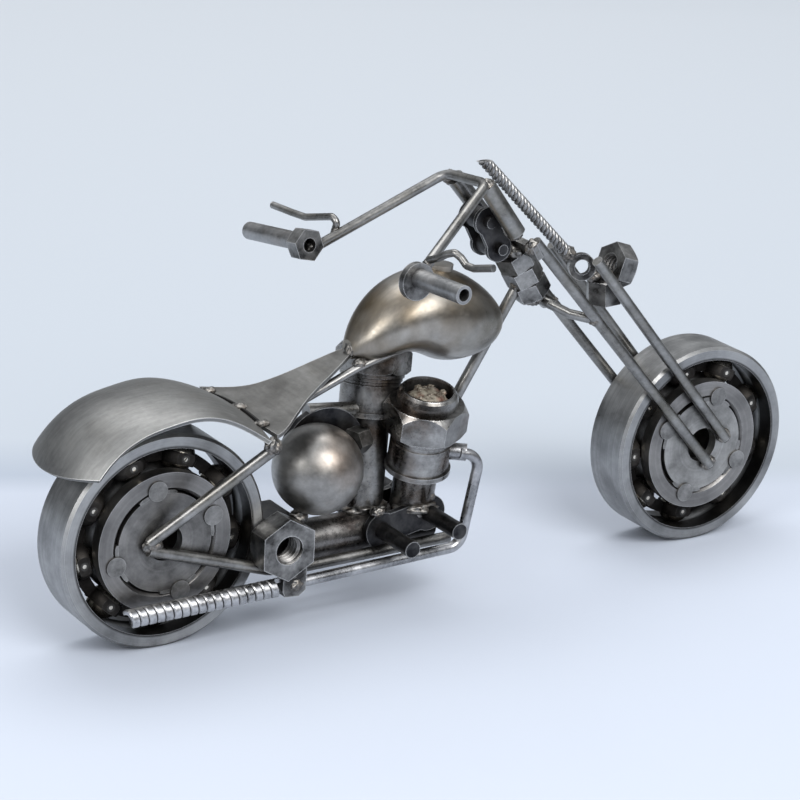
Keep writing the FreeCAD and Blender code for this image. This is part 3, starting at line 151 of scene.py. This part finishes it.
def worn_share(graph, shade, wear):
    """How worn a point is: most on outer edges, where the bevelled normal leaves the true one."""
    soft = graph.add("ShaderNodeBevel", {"Radius": WORN_WIDTH}, samples=4).outputs[0]
    hard = graph.add("ShaderNodeNewGeometry").outputs["Normal"]
    bent = graph.span(graph.dot(soft, hard), 0.97, 0.85)
    edge = graph.math("MULTIPLY", bent, graph.span(shade, 0.75, 0.95))
    return graph.math("MULTIPLY", edge, wear)


def metal(name, dark, light, rough=(0.28, 0.5), brush=None, patches=60.0, contrast=(0.35, 0.65), soot_and_shade=0.75,
          soot_and_shade_reach=4.0, wear=0.5, bump=0.25, tint=None, tint_amount=0.4, hub=None, gap_shade_radius=None,
          metallic=1.0):
    """Worn steel. Patches of two tones, brushed or lathe lines, sooty darkening with painted shade in
    corners, painted shade on a band by the bearing gap if one is given, and bright worn edges.
    """
    material = new_material(name)
    graph = Graph(material)
    point = graph.add("ShaderNodeTexCoord").outputs["Object"]
    patch = graph.noise(point, patches, 5.0, 0.6)
    colour = graph.mix(graph.span(patch, *contrast), dark, light)
    if tint is not None:
        blotch = graph.span(graph.noise(point, patches * 0.7 + 13.0, 3.0), 0.48, 0.68, 0.0, tint_amount)
        colour = graph.mix(blotch, colour, tint)
    fine = graph.noise(point, GRAIN_SCALE, 3.0, 0.6)
    lines = fine
    if hub is not None:
        radius, lathe = turned_coordinate(graph, point, hub)
        lines = graph.noise(lathe, LATHE_SCALE, 4.0, 0.7)
        # painted shade: a band at the ring's inner edge beside the bearing gap is darkened
        if gap_shade_radius is not None:
            low, high = (value * MM for value in gap_shade_radius)
            colour = graph.mix(graph.span(radius, low, high, 0.9, 0.0), colour, GAP_SHADE_COLOUR)
    elif brush is not None:
        lines = graph.noise(graph.stretched(point, brush), 1.0, 4.0, 0.7)
    streaks = graph.span(lines, 0.3, 0.7, 0.82, 1.12)
    streaks = graph.add("ShaderNodeCombineColor", {0: streaks, 1: streaks, 2: streaks}).outputs[0]
    colour = graph.mix(1.0, colour, streaks, "MULTIPLY")
    # sooty darkening mixed with painted shade: corners that the ambient occlusion finds are painted dark
    shade = graph.add("ShaderNodeAmbientOcclusion", {"Distance": soot_and_shade_reach * MM}, samples=6).outputs["AO"]
    soot_and_shade_mask = soot_and_shade_share(graph, point, shade, soot_and_shade)
    colour = graph.mix(soot_and_shade_mask, colour, SOOT_AND_SHADE_COLOUR)
    colour = graph.mix(worn_share(graph, shade, wear), colour, WORN_COLOUR)
    roughness = graph.span(patch, 0.3, 0.7, rough[0], rough[1])
    roughness = graph.math("ADD", roughness, graph.span(fine, 0.3, 0.7, -0.06, 0.06))
    roughness = graph.math("ADD", roughness, graph.math("MULTIPLY", soot_and_shade_mask, 0.3))
    height = graph.math("ADD", graph.math("MULTIPLY", lines, 0.6), graph.math("MULTIPLY", fine, 0.4))
    graph.end("ShaderNodeOutputMaterial", graph.add("ShaderNodeBsdfPrincipled", {
        "Base Color": colour, "Metallic": metallic, "Roughness": roughness,
        "Normal": graph.bump(height, bump, RELIEF)}))
    return material


def paint(material, *names):
    for name in names:
        mesh = NODES[name].data
        mesh.materials.clear()
        mesh.materials.append(material)


tack_steel = metal("tack_steel", (0.12, 0.117, 0.11), (0.36, 0.352, 0.34), rough=(0.34, 0.5), patches=130.0,
                   wear=0.2, soot_and_shade=0.6)
# the rear hub is painted darker than the front one
HUB_DARK = {"rear": (0.09, 0.087, 0.083), "front": (0.2, 0.195, 0.185)}
HUB_LIGHT = {"rear": (0.28, 0.272, 0.262), "front": (0.46, 0.45, 0.43)}


def paint_wheels():
    for wheel, hub in (("rear", REAR_HUB), ("front", FRONT_HUB)):
        # the band at the outer ring's inner edge is painted shade of the bearing gap
        paint(metal(f"{wheel}_outer_steel", (0.19, 0.19, 0.188), (0.42, 0.42, 0.415), rough=(0.3, 0.46),
                    hub=hub, gap_shade_radius=(27.3, 27.9), soot_and_shade=0.6, bump=0.1), f"{wheel}_outer_ring")
        paint(metal(f"{wheel}_inner_steel", (0.14, 0.135, 0.13), (0.3, 0.29, 0.28), rough=(0.3, 0.5), hub=hub,
                    soot_and_shade=0.9, bump=0.1), f"{wheel}_inner_ring")
        paint(metal(f"{wheel}_hub_steel", HUB_DARK[wheel], HUB_LIGHT[wheel], rough=(0.34, 0.5),
                    patches=110.0, hub=hub, soot_and_shade=0.95, soot_and_shade_reach=3.0, wear=0.25, bump=0.1),
              f"{wheel}_hub_plates")
    paint(tack_steel, "hub_tack_welds")
    # the cage is near black: its own dark colour with painted shade of the bearing gap on top
    paint(metal("cage_steel", (0.012, 0.011, 0.01), (0.07, 0.064, 0.058), rough=(0.4, 0.65), soot_and_shade=0.95,
                soot_and_shade_reach=7.0, wear=0.3), "rear_cage", "front_cage")
    paint(metal("ball_steel", (0.4, 0.37, 0.32), (0.75, 0.7, 0.6), rough=(0.08, 0.2), soot_and_shade=0.6,
                soot_and_shade_reach=2.5, wear=0.0, bump=0.04), "rear_balls", "front_balls")


def paint_body():
    paint(metal("fender_sheet", (0.2, 0.2, 0.195), (0.29, 0.29, 0.28), rough=(0.46, 0.56),
                brush=(140, 900, 140), patches=38.0, tint=(0.1, 0.09, 0.075), tint_amount=0.4, soot_and_shade=0.5,
                wear=1.0, bump=0.05), "rear_fender")
    paint(metal("seat_sheet", (0.17, 0.165, 0.155), (0.33, 0.325, 0.31), rough=(0.4, 0.52),
                brush=(700, 120, 700), patches=50.0, tint=(0.1, 0.088, 0.07), tint_amount=0.5, soot_and_shade=0.55,
                wear=1.0, bump=0.06), "seat")
    paint(metal("tank_steel", (0.22, 0.205, 0.175), (0.5, 0.485, 0.46), rough=(0.3, 0.4),
                brush=(160, 500, 160), patches=26.0, tint=(0.15, 0.105, 0.05), tint_amount=0.8, soot_and_shade=0.0,
                wear=0.0, bump=0.02), "fuel_tank", "filler_cap")


def paint_frame():
    paint(metal("rod_steel", (0.17, 0.165, 0.155), (0.36, 0.355, 0.345), rough=(0.26, 0.42), patches=80.0,
                soot_and_shade=0.75, tint=(0.15, 0.13, 0.085), tint_amount=0.35, bump=0.08),
          "backbone_rod", "down_tube", "lower_rails", "seat_stays", "rear_fork_rods", "front_fork_rods",
          "fork_lower_loop", "fork_upper_strap", "handlebar", "right_lever", "left_lever", "intake_rod",
          "handlebar_risers", "steering_stem")
    paint(metal("exhaust_steel", (0.24, 0.24, 0.245), (0.55, 0.55, 0.56), rough=(0.24, 0.4), patches=110.0,
                soot_and_shade=0.7, bump=0.1), "exhaust_pipe", "exhaust_port_nut")
    paint(metal("grip_steel", (0.24, 0.24, 0.24), (0.44, 0.44, 0.44), rough=(0.34, 0.5), patches=90.0,
                soot_and_shade=0.85, tint=(0.16, 0.1, 0.05), tint_amount=0.2), "right_grip", "left_grip")
    paint(metal("nut_steel", (0.05, 0.048, 0.046), (0.34, 0.335, 0.325), rough=(0.26, 0.48), patches=150.0,
                soot_and_shade=0.9, wear=0.9, bump=0.2),
          "side_nut", "steering_head_nuts", "headlight_nut", "lamp_stem_nut", "lamp_ring", "carburettor_nut",
          "right_bar_washer", "left_bar_nut", "exhaust_hanger")
    paint(metal("black_steel", (0.02, 0.02, 0.022), (0.09, 0.088, 0.088), rough=(0.3, 0.5), patches=160.0,
                soot_and_shade=0.85, wear=0.8, bump=0.2),
          "gearbox_block", "right_foot_peg_plate", "left_foot_peg_plate", "foot_peg_pins", "ball_washer",
          "steering_link_plates", "steering_link_rollers", "steering_link_pins")
    paint(metal("crankcase_steel", (0.05, 0.045, 0.042), (0.36, 0.345, 0.33), rough=(0.2, 0.36), patches=60.0,
                tint=(0.1, 0.045, 0.03), tint_amount=0.5, soot_and_shade=0.9, soot_and_shade_reach=7.0, bump=0.1), "crankcase")


def paint_engine():
    paint(metal("plug_plating", (0.09, 0.084, 0.077), (0.42, 0.415, 0.405), rough=(0.2, 0.4), patches=90.0,
                tint=(0.13, 0.075, 0.04), tint_amount=0.5, soot_and_shade=0.9, soot_and_shade_reach=6.0, wear=0.7, bump=0.15),
          "front_cylinder_shell", "rear_cylinder_shell", "cylinder_gaskets")
    paint(metal("ball_polish", (0.28, 0.27, 0.255), (0.52, 0.51, 0.49), rough=(0.36, 0.46),
                brush=(500, 160, 500), patches=30.0, tint=(0.2, 0.13, 0.08), tint_amount=0.6, soot_and_shade=0.0,
                wear=0.0, bump=0.02), "steel_ball")
    paint(metal("coil_steel", (0.34, 0.34, 0.345), (0.66, 0.66, 0.67), rough=(0.24, 0.4), patches=200.0,
                soot_and_shade=0.95, soot_and_shade_reach=1.2, wear=0.8, bump=0.15), "muffler_coil")
    paint(metal("rope_steel", (0.24, 0.235, 0.23), (0.5, 0.495, 0.49), rough=(0.3, 0.5), patches=260.0,
                soot_and_shade=0.95, soot_and_shade_reach=1.4, bump=0.2), "wire_rope")


def shade_frame():
    """Smooth shading that keeps the hard edges of the CAD pieces."""
    for node in NODES.values():
        mesh = node.data
        mesh.polygons.foreach_set("use_smooth", [True] * len(mesh.polygons))
        mesh.set_sharp_from_angle(angle=math.radians(28))


paint_wheels()
paint_body()
paint_frame()
paint_engine()
shade_frame()


# ---------------------------------------------------------------- pieces added to the frame body

weld_steel = metal("weld_steel", (0.06, 0.055, 0.05), (0.42, 0.41, 0.39), rough=(0.28, 0.55), patches=420.0,
                   tint=(0.14, 0.09, 0.05), tint_amount=0.5, soot_and_shade=0.8, soot_and_shade_reach=2.0, wear=0.4, bump=0.5)


def add_piece(name, mesh, material, place=(0, 0, 0), axis=(0, 0, 1)):
    """Object for a mesh with its Z along axis and its origin at place (mm), riding on the frame."""
    mesh.materials.append(material)
    piece = bpy.data.objects.new(name, mesh)
    bpy.context.scene.collection.objects.link(piece)
    turn = Vector((0, 0, 1)).rotation_difference(Vector(axis)).to_matrix().to_4x4()
    piece.matrix_world = Matrix.Translation(Vector(place) * MM) @ turn
    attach(piece, "frame")
    return piece


def lump(name, place, radii, material, seed, roughness=0.22, axis=(0, 0, 1)):
    """Rough blob: a ball stretched to radii along its own axes, with seeded noise in its surface."""
    mesh = bpy.data.meshes.new(name)
    blob = bmesh.new()
    bmesh.ops.create_icosphere(blob, subdivisions=4, radius=1.0)
    offset = Vector((seed * 7.31, seed * 3.17, seed * 1.93))
    for vertex in blob.verts:
        swell = noise.fractal(vertex.co * 1.6 + offset, 0.8, 2.0, 4)
        vertex.co *= 1.0 + roughness * swell
        vertex.co = Vector(c * r * MM for c, r in zip(vertex.co, radii))
    blob.to_mesh(mesh)
    blob.free()
    mesh.polygons.foreach_set("use_smooth", [True] * len(mesh.polygons))
    return add_piece(name, mesh, material, place, axis)


def loft(name, rings):
    """Mesh of a closed tube through rings of points (mm), capped at both ends."""
    mesh = bpy.data.meshes.new(name)
    shape = bmesh.new()
    rows = [[shape.verts.new(Vector(point) * MM) for point in ring] for ring in rings]
    for before, after in zip(rows, rows[1:]):
        for low in range(len(before)):
            high = (low + 1) % len(before)
            shape.faces.new((before[low], before[high], after[high], after[low]))
    shape.faces.new(rows[0])
    shape.faces.new(list(reversed(rows[-1])))
    bmesh.ops.recalc_face_normals(shape, faces=shape.faces)
    shape.to_mesh(mesh)
    shape.free()
    return mesh


# ---------------------------------------------------------------- weld beads

# name, centre, radii (mm); every one sits where two pieces of the frame meet
WELDS = [
    ("weld_rear_hub_right", (-4.6, -9.6, 31.6), (2.9, 1.6, 2.6)),
    ("weld_rear_hub_left", (-4.6, 9.6, 31.6), (2.9, 1.6, 2.6)),
    ("weld_front_hub_right", (187.0, -9.3, 25.4), (2.4, 1.5, 2.3)),
    ("weld_front_hub_left", (185.4, 9.3, 25.2), (2.4, 1.5, 2.3)),
    ("weld_front_hub_right_upper", (192.2, -9.3, 33.2), (2.2, 1.5, 2.2)),
    ("weld_front_hub_left_upper", (189.3, 9.3, 34.0), (2.2, 1.5, 2.2)),
    ("weld_stay_right", (25.0, -21.2, 59.4), (2.4, 2.2, 2.6)),
    ("weld_stay_left", (25.0, 21.2, 59.4), (2.4, 2.2, 2.6)),
    ("weld_fender_middle", (25.7, -1.0, 64.2), (2.3, 1.9, 0.9)),
    ("weld_fender_right", (25.8, -13.5, 63.4), (2.2, 1.5, 0.9)),
    ("weld_fender_left", (25.9, 17.0, 63.1), (2.4, 1.7, 1.0)),
    ("weld_seat_tip", (61.4, -0.5, 75.6), (2.2, 2.4, 2.2)),
    ("weld_backbone", (62.6, -4.0, 72.6), (2.4, 1.6, 1.6)),
    ("weld_side_nut", (35.6, -13.6, 17.6), (2.9, 2.6, 1.7)),
    ("weld_rail_right", (40.0, -9.0, 17.6), (2.6, 1.8, 2.0)),
    ("weld_port", (88.9, -9.9, 44.5), (2.0, 1.8, 2.9)),
    ("weld_front_plug", (83.2, -4.6, 27.0), (6.6, 5.6, 2.2)),
    ("weld_rear_plug", (70.0, 2.6, 26.8), (6.8, 6.0, 2.2)),
    ("weld_down_tube", (86.6, 5.8, 27.4), (2.2, 2.0, 2.6)),
    ("weld_peg_front", (85.6, -6.9, 30.4), (2.4, 2.0, 1.8)),
    ("weld_peg_rear", (68.8, -7.0, 28.0), (2.2, 1.8, 1.6)),
    ("weld_ball", (60.4, -0.6, 45.6), (2.2, 2.4, 3.0)),
    ("weld_ball_low", (43.0, -6.2, 30.8), (2.6, 2.4, 2.2)),
    ("weld_head_upper", (113.6, -1.5, 99.0), (3.0, 4.0, 2.4)),
    ("weld_head_lower", (122.4, -1.0, 83.6), (2.6, 3.0, 2.2)),
    ("weld_tube_head", (117.0, -0.6, 88.6), (2.3, 2.4, 2.4)),
    ("weld_strap_right", (114.3, -10.8, 102.6), (2.3, 1.8, 2.5)),
    ("weld_strap_left", (113.8, 10.8, 102.2), (2.3, 1.8, 2.5)),
    ("weld_link", (110.0, 0.0, 101.8), (2.6, 4.2, 2.6)),
    ("weld_riser_right", (108.9, -9.2, 107.0), (2.5, 2.0, 2.3)),
    ("weld_riser_left", (110.2, 8.2, 106.4), (2.4, 2.2, 2.3)),
    ("weld_bar_right", (98.6, -9.0, 121.3), (2.2, 1.8, 2.2)),
    ("weld_bar_left", (97.6, 8.6, 119.8), (2.2, 1.8, 2.2)),
    ("weld_washer", (61.8, -31.8, 105.4), (1.9, 1.5, 1.9)),
    ("weld_left_nut", (60.6, 22.0, 99.4), (1.8, 1.8, 1.8)),
    ("weld_lever_right", (66.3, -29.4, 108.4), (1.3, 1.3, 1.3)),
    ("weld_lever_left", (67.9, 20.8, 103.8), (1.3, 1.3, 1.3)),
    ("weld_loop_right", (138.5, -10.3, 77.8), (1.9, 1.8, 1.9)),
    ("weld_loop_left", (137.6, 10.3, 77.8), (1.9, 1.8, 1.9)),
    ("weld_rope_foot", (132.6, -3.0, 96.4), (2.4, 2.2, 2.2)),
    ("weld_ring_stem", (142.2, -3.2, 88.6), (2.2, 2.0, 1.9)),
    ("weld_lamp", (147.6, -2.4, 88.0), (2.3, 2.6, 2.1)),
    ("weld_hanger", (37.8, -14.0, 14.2), (2.6, 2.2, 2.0)),
]


def add_welds():
    for seed, (name, place, radii) in enumerate(WELDS, start=1):
        lump(name, place, radii, weld_steel, seed)


# degrees round each hub, counter-clockwise seen from the right, at which the tack welds sit
TACK_ANGLES = {"rear": (100, 21, -72, -163), "front": (73, -26, -110, 154)}
FILL_HALF_ANGLE = 23
FILL_STEPS = 6
FILL_INNER = 14.1
FILL_OUTER = 15.2
FILL_FACE = 8.06
FILL_DEPTH = 1.2


def fill_section(hub, sign, middle, step):
    """Section of a fill across the gap round the disc, at half width at its two ends."""
    angle = math.radians(middle + FILL_HALF_ANGLE * step / FILL_STEPS)
    centre = (FILL_INNER + FILL_OUTER) / 2
    half = (FILL_OUTER - FILL_INNER) / 2 * (1.0 if abs(step) < FILL_STEPS else 0.5)
    section = ((centre - half, FILL_FACE), (centre + half, FILL_FACE),
               (centre + half, FILL_FACE - FILL_DEPTH), (centre - half, FILL_FACE - FILL_DEPTH))
    return [(hub.x + r * math.cos(angle), sign * y, hub.z + r * math.sin(angle)) for r, y in section]


def hub_fills():
    """Weld metal that closes the gap round a hub disc beside each tack and leaves four arc slots open."""
    for wheel, hub in (("rear", REAR_HUB / MM), ("front", FRONT_HUB / MM)):
        for side, sign in (("right", -1), ("left", 1)):
            for index, middle in enumerate(TACK_ANGLES[wheel], start=1):
                name = f"{wheel}_hub_fill_{side}_{index}"
                steps = range(-FILL_STEPS, FILL_STEPS + 1)
                rings = [fill_section(hub, sign, middle, step) for step in steps]
                add_piece(name, loft(name, rings), tack_steel)


# near-black pieces of painted shade for the gaps between the saddle and the fender
seam_shade_black = metal("seam_shade_black", (0.006, 0.006, 0.006), (0.02, 0.019, 0.018), rough=(0.5, 0.8), patches=300.0,
                   metallic=0.3, soot_and_shade=0.5, wear=0.0, bump=0.3)
# Y of the two ends of each dark slot of painted shade between the tacks (mm)
SLOTS = {"right": (-11.6, -3.2), "left": (1.4, 15.0)}
SLOT_BACK = 25.3
SLOT_FRONT = 26.2
SLOT_TOP = 64.6
SLOT_CROWN_DIAMETER = 190.0
SLOT_SLOPE = 0.25
SLOT_DEPTH = 2.0
SLOT_STEPS = 6


def fender_seam():
    """Dark pieces of painted shade in the slots between the tacks where the saddle meets the fender."""
    for side, (start, end) in SLOTS.items():
        rings = []
        for step in range(SLOT_STEPS + 1):
            y = start + (end - start) * step / SLOT_STEPS
            top = SLOT_TOP - y * y / SLOT_CROWN_DIAMETER
            rings.append([(SLOT_BACK, y, top), (SLOT_FRONT, y, top - SLOT_SLOPE),
                          (SLOT_FRONT, y, top - SLOT_DEPTH), (SLOT_BACK, y, top - SLOT_DEPTH)])
        name = f"fender_seam_shade_{side}"
        add_piece(name, loft(name, rings), seam_shade_black)


# ---------------------------------------------------------------- nut threads

THREAD_STEPS = 40
THREAD_RUN_OUT = 12
FLANK = 0.42


def thread_rings(radius, depth, pitch, length):
    """Triangular sections of a ridge that winds along Z inside a bore and fades out at both ends."""
    turns = length / pitch
    count = int(THREAD_STEPS * turns)
    section = ((radius, -FLANK), (radius - depth, 0.0), (radius, FLANK))
    rings = []
    for index in range(count + 1):
        angle = 2 * math.pi * index / THREAD_STEPS
        fade = min(1.0, index / THREAD_RUN_OUT, (count - index) / THREAD_RUN_OUT)
        ring = []
        for distance, shift in section:
            reach = radius - (radius - distance) * fade
            height = pitch * index / THREAD_STEPS + shift * pitch
            ring.append((reach * math.cos(angle), reach * math.sin(angle), height))
        rings.append(ring)
    return rings


thread_steel = metal("thread_steel", (0.05, 0.048, 0.045), (0.28, 0.27, 0.26), rough=(0.3, 0.5),
                     patches=300.0, soot_and_shade=0.8, soot_and_shade_reach=2.0, wear=0.6, bump=0.2)


def add_thread(name, start, axis, *sizes):
    add_piece(name, loft(name, thread_rings(*sizes)), thread_steel, start, axis)


def add_threads():
    """Threads of the side nut and the headlight nut: start, axis, bore radius, depth, pitch, length (mm)."""
    add_thread("side_nut_thread", (34.4, -16.0, 25.6), (0, 1, 0), 4.25, 0.75, 1.5, 6.6)
    add_thread("headlight_thread", (149.2, -2.0, 91.1), (0.95, 0, -0.31), 3.25, 0.6, 1.25, 4.4)


# ---------------------------------------------------------------- core of the open plug

core_metal = metal("core_ceramic", (0.07, 0.05, 0.035), (0.33, 0.3, 0.24), rough=(0.2, 0.45), patches=420.0,
                   contrast=(0.4, 0.58), tint=(0.2, 0.05, 0.025), tint_amount=0.5, soot_and_shade=0.7, soot_and_shade_reach=2.0,
                   wear=0.0, bump=0.6, metallic=0.25)


PLUG_AXIS = Vector((-0.02, -0.19, 0.98)).normalized()
PLUG_FOOT = Vector((83.4, -1.7, 24.6))
CORE_HEIGHT = 35.2
CORE_RADII = (6.5, 6.5, 4.4)
CRUMB_HEIGHT = 3.4
CRUMBS = 7


def plug_core():
    """Lumpy rest of the insulator, with weld metal over it, in the open bowl of the front plug."""
    centre = PLUG_FOOT + PLUG_AXIS * CORE_HEIGHT
    core = lump("front_plug_core", centre, CORE_RADII, core_metal, 71, 0.14, PLUG_AXIS)
    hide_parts("front_cylinder_core")
    random.seed(5)
    for index in range(CRUMBS):
        angle = 2 * math.pi * index / CRUMBS + random.uniform(-0.3, 0.3)
        reach = random.uniform(0.6, 4.6)
        side = PLUG_AXIS.orthogonal().normalized()
        place = centre + PLUG_AXIS * CRUMB_HEIGHT + Matrix.Rotation(angle, 3, PLUG_AXIS) @ side * reach
        grain = random.uniform(0.6, 1.3)
        radii = (grain, grain * 0.8, grain * 0.8)
        lump(f"front_plug_crumb_{index + 1}", place, radii, core_metal, 80 + index, 0.35, PLUG_AXIS)


add_welds()
hub_fills()
fender_seam()
add_threads()
plug_core()


# ---------------------------------------------------------------- camera, light and floor

CAMERA_PLACE = Vector((-336.93, -633.53, 320.72)) * MM
CAMERA_AZIMUTH = math.radians(33.29)
CAMERA_ELEVATION = math.radians(19.11)
CAMERA_ROLL = math.radians(3.005)
CAMERA_LENS = 126.4
SENSOR = 36.0
HORIZON_DISTANCE = 0.842
BACKDROP_AZIMUTH = math.radians(24.2)


def place_camera():
    """Camera at the photograph's angle, set from its place, two angles and a roll."""
    forward = Vector((math.sin(CAMERA_AZIMUTH) * math.cos(CAMERA_ELEVATION),
                      math.cos(CAMERA_AZIMUTH) * math.cos(CAMERA_ELEVATION), -math.sin(CAMERA_ELEVATION)))
    level = Vector((math.cos(CAMERA_AZIMUTH), -math.sin(CAMERA_AZIMUTH), 0))
    upright = level.cross(forward)
    right = level * math.cos(CAMERA_ROLL) + upright * math.sin(CAMERA_ROLL)
    up = upright * math.cos(CAMERA_ROLL) - level * math.sin(CAMERA_ROLL)
    data = bpy.data.cameras.new("camera")
    data.lens = CAMERA_LENS
    data.sensor_width = SENSOR
    data.clip_start = 0.01
    camera = bpy.data.objects.new("camera", data)
    bpy.context.scene.collection.objects.link(camera)
    turn = Matrix((right, up, -forward)).transposed().to_4x4()
    camera.matrix_world = Matrix.Translation(CAMERA_PLACE) @ turn
    bpy.context.scene.camera = camera


def softbox(name, place, width, height, power):
    """Rectangular lamp (metres, watts) aimed at the middle of the object."""
    data = bpy.data.lights.new(name, "AREA")
    data.shape = "RECTANGLE"
    data.size = width
    data.size_y = height
    data.energy = power
    lamp = bpy.data.objects.new(name, data)
    bpy.context.scene.collection.objects.link(lamp)
    lamp.location = place
    direction = LIT_POINT - Vector(place)
    lamp.rotation_euler = direction.to_track_quat("-Z", "Y").to_euler()


FLOOR_COLOUR = (0.505, 0.545, 0.62)
WALL_LOW_COLOUR = (0.465, 0.505, 0.555)
WALL_HIGH_COLOUR = (0.61, 0.645, 0.685)
# painted shade along the crease where the floor meets the wall
CREASE_SHADE_COLOUR = (0.37, 0.415, 0.49)
WORLD_LOW = (0.06, 0.063, 0.068)
WORLD_MIDDLE = (0.3, 0.315, 0.335)
WORLD_HIGH = (0.9, 0.94, 1.0)
WORLD_STRENGTH = 0.8
LIT_POINT = Vector((0.09, 0.0, 0.05))
FLOOR_SIZE = 12.0


def backdrop_colour(graph, point):
    """Floor colour, a faint painted shade along the crease behind the object, and a greyer wall that pales
    beyond it.
    """
    away = Vector((math.sin(BACKDROP_AZIMUTH), math.cos(BACKDROP_AZIMUTH), 0.0))
    beside = Vector((math.cos(BACKDROP_AZIMUTH), -math.sin(BACKDROP_AZIMUTH), 0.0))
    line = CAMERA_PLACE.dot(away) + HORIZON_DISTANCE
    past = graph.math("SUBTRACT", graph.dot(point, away), line)
    wall = graph.mix(graph.span(past, 0.0, 0.75), WALL_LOW_COLOUR, WALL_HIGH_COLOUR)
    colour = graph.mix(graph.span(past, -0.012, 0.006), FLOOR_COLOUR, wall)
    # painted shade along the crease, weaker towards the right
    crease = graph.math("MULTIPLY", graph.span(past, -0.016, 0.0), graph.span(past, 0.0, 0.034, 1.0, 0.0))
    fading = graph.span(graph.dot(point, beside), -0.04, 0.22, 0.8, 0.15)
    return graph.mix(graph.math("MULTIPLY", crease, fading), colour, CREASE_SHADE_COLOUR)


def floor_material():
    """Pale paper with a fine grain."""
    material = new_material("paper_floor")
    graph = Graph(material)
    point = graph.add("ShaderNodeTexCoord").outputs["Object"]
    grain = graph.bump(graph.noise(point, 600.0), 0.05, 0.2 * MM)
    graph.end("ShaderNodeOutputMaterial", graph.add("ShaderNodeBsdfPrincipled", {
        "Base Color": backdrop_colour(graph, point), "Roughness": 0.55, "Normal": grain,
        "Specular IOR Level": 0.25}))
    return material


def room():
    """Pale ceiling that darkens towards the horizon, so that the steel has something dark to reflect."""
    world = bpy.data.worlds.new("studio")
    world.use_nodes = True
    world.node_tree.nodes.clear()
    graph = Graph(world)
    direction = graph.add("ShaderNodeTexCoord").outputs["Generated"]
    height = graph.add("ShaderNodeSeparateXYZ", {0: direction}).outputs[2]
    colour = graph.ramp(height, [(0.0, WORLD_LOW), (0.25, WORLD_MIDDLE), (0.75, WORLD_HIGH)])
    background = graph.add("ShaderNodeBackground", {"Color": colour, "Strength": WORLD_STRENGTH})
    graph.end("ShaderNodeOutputWorld", background)
    return world


def studio():
    """Floor, three softboxes and the room."""
    bpy.ops.mesh.primitive_plane_add(size=FLOOR_SIZE, location=(0, 0, 0))
    floor = bpy.context.object
    floor.name = "floor"
    floor.data.materials.append(floor_material())
    softbox("window", (0.1, -1.3, 1.2), 1.1, 0.9, 25.0)
    softbox("overhead", (0.3, 0.5, 1.5), 1.2, 0.8, 10.0)
    softbox("fill", (-1.1, -0.4, 0.7), 0.5, 0.7, 7.0)
    bpy.context.scene.world = room()
    bpy.context.scene.view_settings.view_transform = "Standard"


place_camera()
studio()
